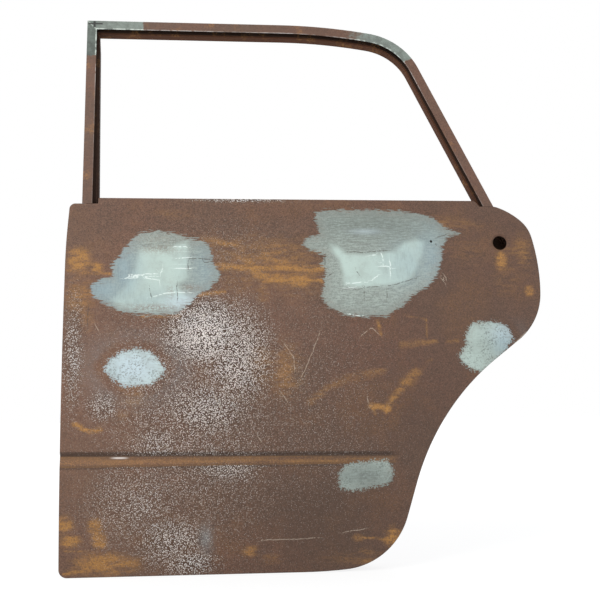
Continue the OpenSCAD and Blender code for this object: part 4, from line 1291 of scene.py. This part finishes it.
def draw_section(face=True):
    """Section of the rolled frame: X from its outer edge towards the window, Y into the cabin."""
    w = bpy.context.scene.window_frame
    mm = 0.001
    web = w.overhang + mm
    if face:
        outer = [(0, 0, 0.45 * mm), (w.face_w, 0, 0.45 * mm), (w.face_w, mm, 0.45 * mm), (web, mm, 0.3 * mm)]
        tail = [(w.overhang, w.depth, 2 * mm), (w.overhang, mm, 0.3 * mm), (0, mm, 0.45 * mm)]
    else:
        outer = [(w.overhang, 1.2 * mm, 0.2 * mm), (web, 1.2 * mm, 0.2 * mm)]
        tail = [(w.overhang, w.depth, 2 * mm)]
    outer += [(web, w.channel, 0.8 * mm), (w.width, w.channel, 1.2 * mm), (w.width, w.depth, 2 * mm)]
    draw_loop(outer + tail)
    wall = mm
    draw_loop([
        (web + wall, w.channel + wall, 0.6 * mm),
        (w.width - wall, w.channel + wall, 0.8 * mm),
        (w.width - wall, w.depth - wall, 1.2 * mm),
        (web + wall, w.depth - wall, 1.2 * mm),
    ], 2)
    select_mesh("SELECT")
    bpy.ops.mesh.fill(use_beauty=True)


def note_section():
    """Keeps each point's place in the section, which the sweep then carries along."""
    mesh = edit_mesh()
    across = mesh.verts.layers.float.new("across")
    deep = mesh.verts.layers.float.new("deep")
    for v in mesh.verts:
        v[across], v[deep] = v.co.x, v.co.y


def sweep(name, moves, face=True):
    """A frame piece: the section at the start, extruded along +Z and spun about its own inner side."""
    piece = start_piece(name)
    draw_section(face)
    note_section()
    select_mesh("SELECT")
    gone = 0.0
    for kind, amount, *radius in moves:
        if kind == "run":
            bpy.ops.mesh.extrude_region_move(TRANSFORM_OT_translate={"value": (0, 0, amount)})
            gone += amount
        else:
            steps = max(6, math.ceil(amount / (2 * math.acos(1 - 0.00004 / radius[0]))))
            bpy.ops.mesh.spin(steps=steps, angle=amount, center=(radius[0], 0, gone), axis=(0, -1, 0))
    return piece


def trim(place, normal):
    """Cuts off what lies beyond a plane and closes the cut end again."""
    select_mesh("SELECT")
    bpy.ops.mesh.bisect(plane_co=place, plane_no=normal, clear_outer=True)
    bpy.ops.mesh.fill(use_beauty=True)


def close_ends():
    """Closes any end of a swept piece that is still open."""
    choose(lambda e: e.is_boundary, "edges")
    if any(e.select for e in edit_mesh().edges):
        bpy.ops.mesh.fill(use_beauty=True)


def turned_y(angle):
    return Matrix.Rotation(angle, 4, "Y")


def raised(z):
    return Matrix.Translation((0, 0, z))


class DOOR_OT_window_frame(bpy.types.Operator):
    """Rolls the four pieces of the window frame, cut to meet at the mitre and the bends"""

    bl_idname = "door.window_frame"
    bl_label = "Window frame"

    def execute(self, context):
        w, o = context.scene.window_frame, context.scene.door_outline
        foot = (o.shoulder - o.belt) / math.cos(w.lean) + 0.0002
        corner_x = w.upright_x - w.height * math.tan(w.upright_rake)
        corner = Vector((corner_x, 0, w.height))
        right = math.pi / 2
        bend_from = Vector((
            w.header_end + w.header_r * math.sin(w.header_turn),
            0,
            w.height - w.header_r * (1 - math.cos(w.header_turn)),
        ))
        turned = w.header_turn + w.bend_turn
        centre = bend_from - w.bend_r * Vector((math.sin(w.header_turn), 0, math.cos(w.header_turn)))
        bend_end = centre + w.bend_r * Vector((math.sin(turned), 0, math.cos(turned)))
        rear_run = (bend_end.z - foot) / math.sin(turned)
        diagonal = Vector((1, 0, 1))
        # Ends that are cut to length start out this much too long
        spare = 0.03
        flare_from = w.height - 0.06
        lift = Matrix.Translation((0, float(skin_depth(o.belt)), o.belt)) @ Matrix.Rotation(-w.lean, 4, "X")
        upright = Matrix.Translation((w.upright_x, 0, 0)) @ turned_y(-w.upright_rake)
        at_foot = (Vector((0, 0, foot)), Vector((0, 0, -1)))
        back = Vector((spare, 0, 0))
        # Each piece has its node, its moves, its place, its cuts and the length of its leg in the door
        for name, node, moves, place, cuts, leg in (
            (
                "upright_front", "frame_front_upright", [("run", w.height - foot + spare + 0.003)],
                upright @ raised(foot - 0.003), [(corner, diagonal), at_foot], -w.leg,
            ),
            (
                "header", "frame_header",
                [("run", w.header_end - corner_x + spare), ("turn", w.header_turn, w.header_r)],
                Matrix.Translation(corner - back) @ turned_y(right), [(corner, -diagonal)], 0,
            ),
            (
                "rear_corner", "frame_rear_corner", [("turn", w.bend_turn, w.bend_r)],
                Matrix.Translation(bend_from) @ turned_y(right + w.header_turn), [], 0,
            ),
            (
                "upright_rear", "frame_rear_upright", [("run", rear_run + spare)],
                Matrix.Translation(bend_end) @ turned_y(right + turned), [at_foot], w.rear_leg,
            ),
        ):
            piece = sweep(name, moves)
            finish_mesh()
            settle(piece, place)
            bpy.ops.object.mode_set(mode="EDIT")
            close_ends()
            for cut_place, cut_normal in cuts:
                trim(cut_place, cut_normal)
            flares = name == "upright_front"
            if flares:
                cut_rows((flare_from,), 2)
            finish_mesh()
            if flares:
                # The channel's inner wall widens towards the belt
                z = points_of(piece)[:, 2]
                wall = (section_field(piece, "across") > 0.012) & (section_field(piece, "deep") > 0.012)
                share = smooth(z, w.height - 0.022, flare_from) * w.flare_top
                share += np.clip((flare_from - z) / flare_from, 0, 1) * (w.flare - w.flare_top)
                press(piece, share * wall, "X")
            if leg:
                inner = sweep(name + "_leg", [("run", abs(leg) + (foot if leg < 0 else 0))], False)
                finish_mesh()
                start = upright @ raised(leg) if leg < 0 else place @ raised(rear_run)
                settle(inner, start)
                bpy.ops.object.mode_set(mode="EDIT")
                close_ends()
                finish_mesh()
                choose_pieces(inner, piece)
                bpy.ops.object.join()
            settle(piece, lift)
            hand_over(piece, "frame_paint", "bend_primer" if name == "rear_corner" else "frame_primer", node)
            apply_modifier(piece, "WEIGHTED_NORMAL", keep_sharp=True)
        return {"FINISHED"}


APERTURES = (
    ((95, 105), (335, 105), (335, 330), (95, 330)),
    ((395, 110), (545, 110), (602, 200), (640, 330), (395, 330)),
    ((95, 545), (300, 545), (300, 620), (95, 620)),
    ((725, 470), (835, 470), (835, 600), (725, 600)),
)
# Beads as front end, rear end, height of the middle and width
BEADS = (
    (110, 325, 76, 16), (400, 540, 76, 16), (90, 350, 370, 18),
    (520, 640, 370, 18), (560, 690, 450, 18), (360, 660, 600, 18),
)
# Steepness of a bead's sides in degrees
BEAD_STEEPNESS = 58
# Winder, pull and the two armrest holes as (x, z, radius), and the trim clips' places
HOLES = ((430, 430, 13), (620, 520, 10), (330, 500, 4.5), (520, 500, 4.5))
CLIPS = (
    *((430 + i, 430 + j) for i in (-46, 46) for j in (-32, 32)),
    *((620 + i, 520) for i in (-32, 32)),
    *((x, 54) for x in range(80, 501, 100)),
    *((60, z) for z in range(130, 621, 110)),
    *((x, 640) for x in range(120, 801, 110)),
    (852, 482), (855, 530), (855, 580),
)


class DOOR_OT_inner_panel(bpy.types.Operator):
    """Presses the inner panel with its land, access apertures, beads and fixing holes"""

    bl_idname = "door.inner_panel"
    bl_label = "Inner panel"

    def execute(self, context):
        n, sheet = context.scene.inner_panel, context.scene.door_skin.sheet
        piece = start_piece("panel_inner")
        bends = outline_bends()
        low, high = n.land_y - sheet / 2, n.inner_y - sheet / 2
        wall = n.wall_in + n.land_w - sheet / 2
        rings = [(n.wall_in, low), *z_fold(wall, low, high, 5)]
        for number, (inset, y) in enumerate(rings, 1):
            draw_bends(bends, inset, y, ring=number).close()
        join_rings(len(rings), (1,), True)
        for corners in APERTURES:
            edge = grown([(x / 1000, z / 1000, n.aperture_r) for x, z in corners], n.fold_r + sheet / 2)
            pressed_face(edge, high, fold(n.fold_r, 0, 90))
            bpy.ops.mesh.extrude_region_move(TRANSFORM_OT_translate={"value": (0, n.fold_r - n.lip, 0)})
            bpy.ops.mesh.delete(type="FACE")
        for x0, x1, z, w in BEADS:
            x0, x1, z, r = x0 / 1000, x1 / 1000, z / 1000, w / 2000
            edge = [(x0, z - r, r * 0.9), (x1, z - r, r * 0.9), (x1, z + r, r * 0.9), (x0, z + r, r * 0.9)]
            steep = math.radians(BEAD_STEEPNESS)
            fall = n.bead - 2 * n.fold_r * (1 - math.cos(steep))
            slope = [(fall / math.tan(steep), fall)]
            down, level = fold(n.fold_r, 0, BEAD_STEEPNESS), fold(n.fold_r, BEAD_STEEPNESS, 0)
            pressed_face(edge, high, down + slope + level)
        for x, z, r in (*((x, z, n.clip_r * 1000) for x, z in CLIPS), *HOLES):
            draw_circle(x / 1000, high, z / 1000, r / 1000, 32)
        choose(lambda e: len(e.link_faces) < 2 and all(abs(v.co.y - high) < 1e-6 for v in e.verts), "edges")
        bpy.ops.mesh.fill(use_beauty=True)
        finish_mesh()
        apply_modifier(piece, "SOLIDIFY", thickness=sheet, offset=0)
        hand_over(piece, "inner_paint", "inner_primer", "inner_panel")
        apply_modifier(piece, "WEIGHTED_NORMAL", keep_sharp=True)
        return {"FINISHED"}


def draw_side(side, inset, y, ring):
    """One stretch of the outline, moved into the door."""
    o, n = bpy.context.scene.door_outline, bpy.context.scene.inner_panel
    bends = outline_bends()
    (x, z), heading = bends[3][:2]

    def aside(back):
        return (
            x - back * math.cos(heading) - inset * math.sin(heading),
            y,
            z - back * math.sin(heading) + inset * math.cos(heading),
        )

    gap = 0.0001
    back = o.arch_run * 0.6
    first, chosen, last = {
        "front": ((n.pillar_top, y, o.shoulder - inset), bends[8:11], (n.sill_start, y, inset)),
        "sill": ((n.sill_start + gap, y, inset), [], (n.arch_start - gap, y, inset)),
        "arch": ((n.arch_start, y, inset), bends[:3], aside(back)),
        "rear": (aside(back - gap), bends[3:7], None),
    }[side]
    pen = Pen(first, ring)
    draw_bends(chosen, inset, y, pen)
    if last:
        pen.line(last)


def cut_out(piece, rounds, boxes):
    """Cuts round holes along X, as (x, y, z, radius), and boxes, as (middle, size), out of a piece."""
    cutter = start_piece("cutter")
    for x, y, z, r in rounds:
        bpy.ops.mesh.primitive_cylinder_add(
            vertices=32, radius=r, depth=0.03, location=(x, y, z), rotation=(0, math.pi / 2, 0)
        )
    for middle, size in boxes:
        bpy.ops.mesh.primitive_cube_add(size=1, location=middle, scale=size)
    finish_mesh()
    choose_pieces(piece)
    apply_modifier(piece, "BOOLEAN", object=cutter, operation="DIFFERENCE", solver="EXACT")
    bpy.data.objects.remove(cutter)


class DOOR_OT_shut_faces(bpy.types.Operator):
    """Folds the shut faces between the skin's folded edge and the inner panel"""

    bl_idname = "door.shut_faces"
    bl_label = "Shut faces"

    def execute(self, context):
        n, s = context.scene.inner_panel, context.scene.door_skin
        half = s.sheet / 2
        wall = n.wall_in + half
        outer, inner = 0.0014, n.land_y - s.sheet - half
        rows = [(0.001, outer), *z_fold(wall, outer, inner, 4), (n.wall_in + n.flange, inner)]
        y, front, rear = n.hinge_y, n.wall_in, n.lock_x
        four = ((-1, -1), (-1, 1), (1, -1), (1, 1))
        bolts = [(front, y + i * 0.014, z + j * 0.022, n.hinge_r) for z in (0.56, 0.15) for i, j in four]
        bolts += [(front, y, n.strap_z + j * 0.024, n.screw_r) for j in (-1, 1)]
        bolts += [(front, 0.06, z, 0.005) for z in (0.07, 0.64)]
        screws = [(rear, y + i * 0.014, n.lock_z + j * 0.029, n.screw_r) for i, j in four]
        screws.append((rear - 0.006, y, 0.48, 0.006))
        strap = ((front, y, n.strap_z), (0.03, 0.01, 0.028))
        latch = ((rear, y, n.lock_z), (0.05, 0.022, 0.04))
        drains = [((x + 0.013, 0.034, 0.013), (0.026, 0.008, 0.02)) for x in (0.13, 0.26, 0.39)]
        for name, side, node, rounds, boxes in (
            ("shut_front", "front", "hinge_pillar", bolts, [strap]),
            ("sill_channel", "sill", "bottom_rail", [], drains),
            ("arch_channel", "arch", "wheel_arch_rail", [], []),
            ("shut_rear", "rear", "lock_pillar", screws, [latch]),
        ):
            piece = start_piece(name)
            for number, (inset, depth) in enumerate(rows, 1):
                draw_side(side, inset, depth, number)
            join_rings(len(rows))
            cut_rows(np.arange(0.012, 0.7, 0.012) + 0.0001, 2)
            if side == "front":
                cut_rows(np.arange(s.swage_low - 0.004, s.swage_top + 0.004, 0.001) + 0.0001, 2)
            finish_mesh()
            at = points_of(piece)
            follows = at[:, 1] < 0.01
            press(piece, (skin_depth(at[:, 2]) + swage_depth(at[:, 0], at[:, 2])) * follows)
            apply_modifier(piece, "SOLIDIFY", thickness=s.sheet, offset=0)
            if rounds or boxes:
                cut_out(piece, rounds, boxes)
            hand_over(piece, "inner_paint", "inner_primer", node)
            apply_modifier(piece, "WEIGHTED_NORMAL", keep_sharp=True)
        return {"FINISHED"}


class DOOR_OT_hidden_pressings(bpy.types.Operator):
    """Finishes the solid pieces that keep their shape"""

    bl_idname = "door.hidden_pressings"
    bl_label = "Hidden pressings"

    def execute(self, context):
        slots = {row["node"]: row["material_slot"] for row in frame["record"]["subparts"]}
        for name, node in frame["nodes"].items():
            if node.hide_render:
                continue
            node.data.materials.clear()
            kind = "bracket_paint" if slots.get(name) == "bracket_primer" else "inner_paint"
            node.data.materials.append(bpy.data.materials[kind])
            weld = node.modifiers.new("Weld", "WELD")
            weld.merge_threshold = 0.00001
            rounding = node.modifiers.new("Rounding", "BEVEL")
            rounding.width, rounding.segments = 0.0003, 2
            rounding.limit_method, rounding.angle_limit = "ANGLE", SHARP
        return {"FINISHED"}


# The camera as fitted to the photo: its place, its turns in degrees and its focal length
CAMERA_PLACE = (0.28695, -1.75, -0.01466)
CAMERA_TURNS = ((-4.732, "Z"), (5.447, "X"), (0.495, "Y"))
FOCAL_PIXELS, PHOTO_PIXELS, SENSOR = 908.81, 600, 36
LAMPS = (
    # (name, place, aim, width, watts, tint)
    ("key_lamp", (-1.6, -2.4, 2.6), (0.35, 0, 0.05), 1.6, 70, (1.0, 0.98, 0.94)),
    ("fill_lamp", (2.6, -2.6, 1.0), (0.45, 0, 0.0), 2.2, 26, (0.94, 0.97, 1.0)),
    ("back_lamp", (0.4, 2.8, 2.2), (0.45, 0, 0.1), 2.4, 46, (1.0, 1.0, 1.0)),
)


class DOOR_OT_stage(bpy.types.Operator):
    """Sets the camera at the photographed angle, the soft lamps and the pale floor"""

    bl_idname = "door.stage"
    bl_label = "Stage"

    def execute(self, context):
        scene = context.scene
        yaw, pitch, roll = (Matrix.Rotation(math.radians(angle), 3, axis) for angle, axis in CAMERA_TURNS)
        right, forward, up = (yaw @ pitch @ roll).col
        camera = bpy.data.objects.new("camera", bpy.data.cameras.new("camera"))
        scene.collection.objects.link(camera)
        turned = Matrix((right, up, -forward)).transposed().to_4x4()
        camera.matrix_world = Matrix.Translation(CAMERA_PLACE) @ turned
        camera.data.sensor_width = SENSOR
        camera.data.lens = FOCAL_PIXELS / PHOTO_PIXELS * SENSOR
        camera.data.clip_start, camera.data.clip_end = 0.05, 60
        scene.camera = camera
        low = CAD_BOX[0].z
        bpy.ops.object.select_all(action="DESELECT")
        bpy.ops.mesh.primitive_plane_add(size=14, location=(0.45, 0.5, low - 0.0005))
        floor = context.object
        floor.name = "floor"
        p = Paint(bpy.data.materials.new("floor_paint"))
        tone = p.mix(p.noise(3, 3), (0.80, 0.80, 0.80), (0.84, 0.84, 0.84))
        matte = p.add("BsdfDiffuse", 0, {"Color": tone})
        glow = p.add("Emission", 0, {"Color": (1, 1, 1, 1), "Strength": 1.12})
        # The floor shows the shadow near the door and runs out to plain white
        away = p.add("VectorMath", "Value", {0: p.place}, operation="LENGTH")
        share = p.seen() * p.step(away, 0.5, 1.3, 0.74, 1.0)
        p.end("OutputMaterial", p.add("MixShader", 0, {0: share, 1: matte, 2: glow}))
        floor.data.materials.append(p.owner)
        # The room is plain white to the eye and lights the door softly
        p = Paint(bpy.data.worlds.new("room"))
        scene.world = p.owner
        soft = p.add("Background", 0, {"Color": (0.93, 0.96, 1.0, 1), "Strength": 0.55})
        white = p.add("Background", 0, {"Color": (1, 1, 1, 1), "Strength": 1.0})
        p.end("OutputWorld", p.add("MixShader", 0, {0: p.seen(), 1: soft, 2: white}))
        for name, place, aim, width, watts, tint in LAMPS:
            lamp = bpy.data.objects.new(name, bpy.data.lights.new(name, "AREA"))
            scene.collection.objects.link(lamp)
            lamp.data.size, lamp.data.energy, lamp.data.color = width, watts, tint
            lamp.location = place
            lamp.rotation_euler = (Vector(aim) - Vector(place)).to_track_quat("-Z", "Y").to_euler()
        scene.view_settings.view_transform = "Standard"
        return {"FINISHED"}


STEPS = ("paints", "skin", "window_frame", "inner_panel", "shut_faces", "hidden_pressings", "stage")


class DOOR_PT_panel(bpy.types.Panel):
    """Sizes, colours and building steps of the door"""

    bl_idname = "DOOR_PT_panel"
    bl_label = "Rear Side Door"
    bl_space_type = "VIEW_3D"
    bl_region_type = "UI"
    bl_category = "Door"

    def draw(self, context):
        for step in STEPS:
            self.layout.operator("door." + step)
        for group in GROUPS:
            box = self.layout.box()
            for name in GROUPS[group].__annotations__:
                box.prop(getattr(context.scene, group), name)


GROUPS = {
    "door_outline": DoorOutline,
    "door_skin": DoorSkin,
    "window_frame": WindowFrame,
    "inner_panel": InnerPanel,
    "door_colours": DoorColours,
}
CLASSES = (
    *GROUPS.values(),
    DOOR_OT_paints,
    DOOR_OT_skin,
    DOOR_OT_window_frame,
    DOOR_OT_inner_panel,
    DOOR_OT_shut_faces,
    DOOR_OT_hidden_pressings,
    DOOR_OT_stage,
    DOOR_PT_panel,
)


def register():
    for cls in CLASSES:
        bpy.utils.register_class(cls)
    for name, group in GROUPS.items():
        setattr(bpy.types.Scene, name, bpy.props.PointerProperty(type=group))


def unregister():
    for name in GROUPS:
        delattr(bpy.types.Scene, name)
    for cls in reversed(CLASSES):
        bpy.utils.unregister_class(cls)


def main():
    register()
    for step in STEPS:
        getattr(bpy.ops.door, step)()


if __name__ == "__main__":
    main()
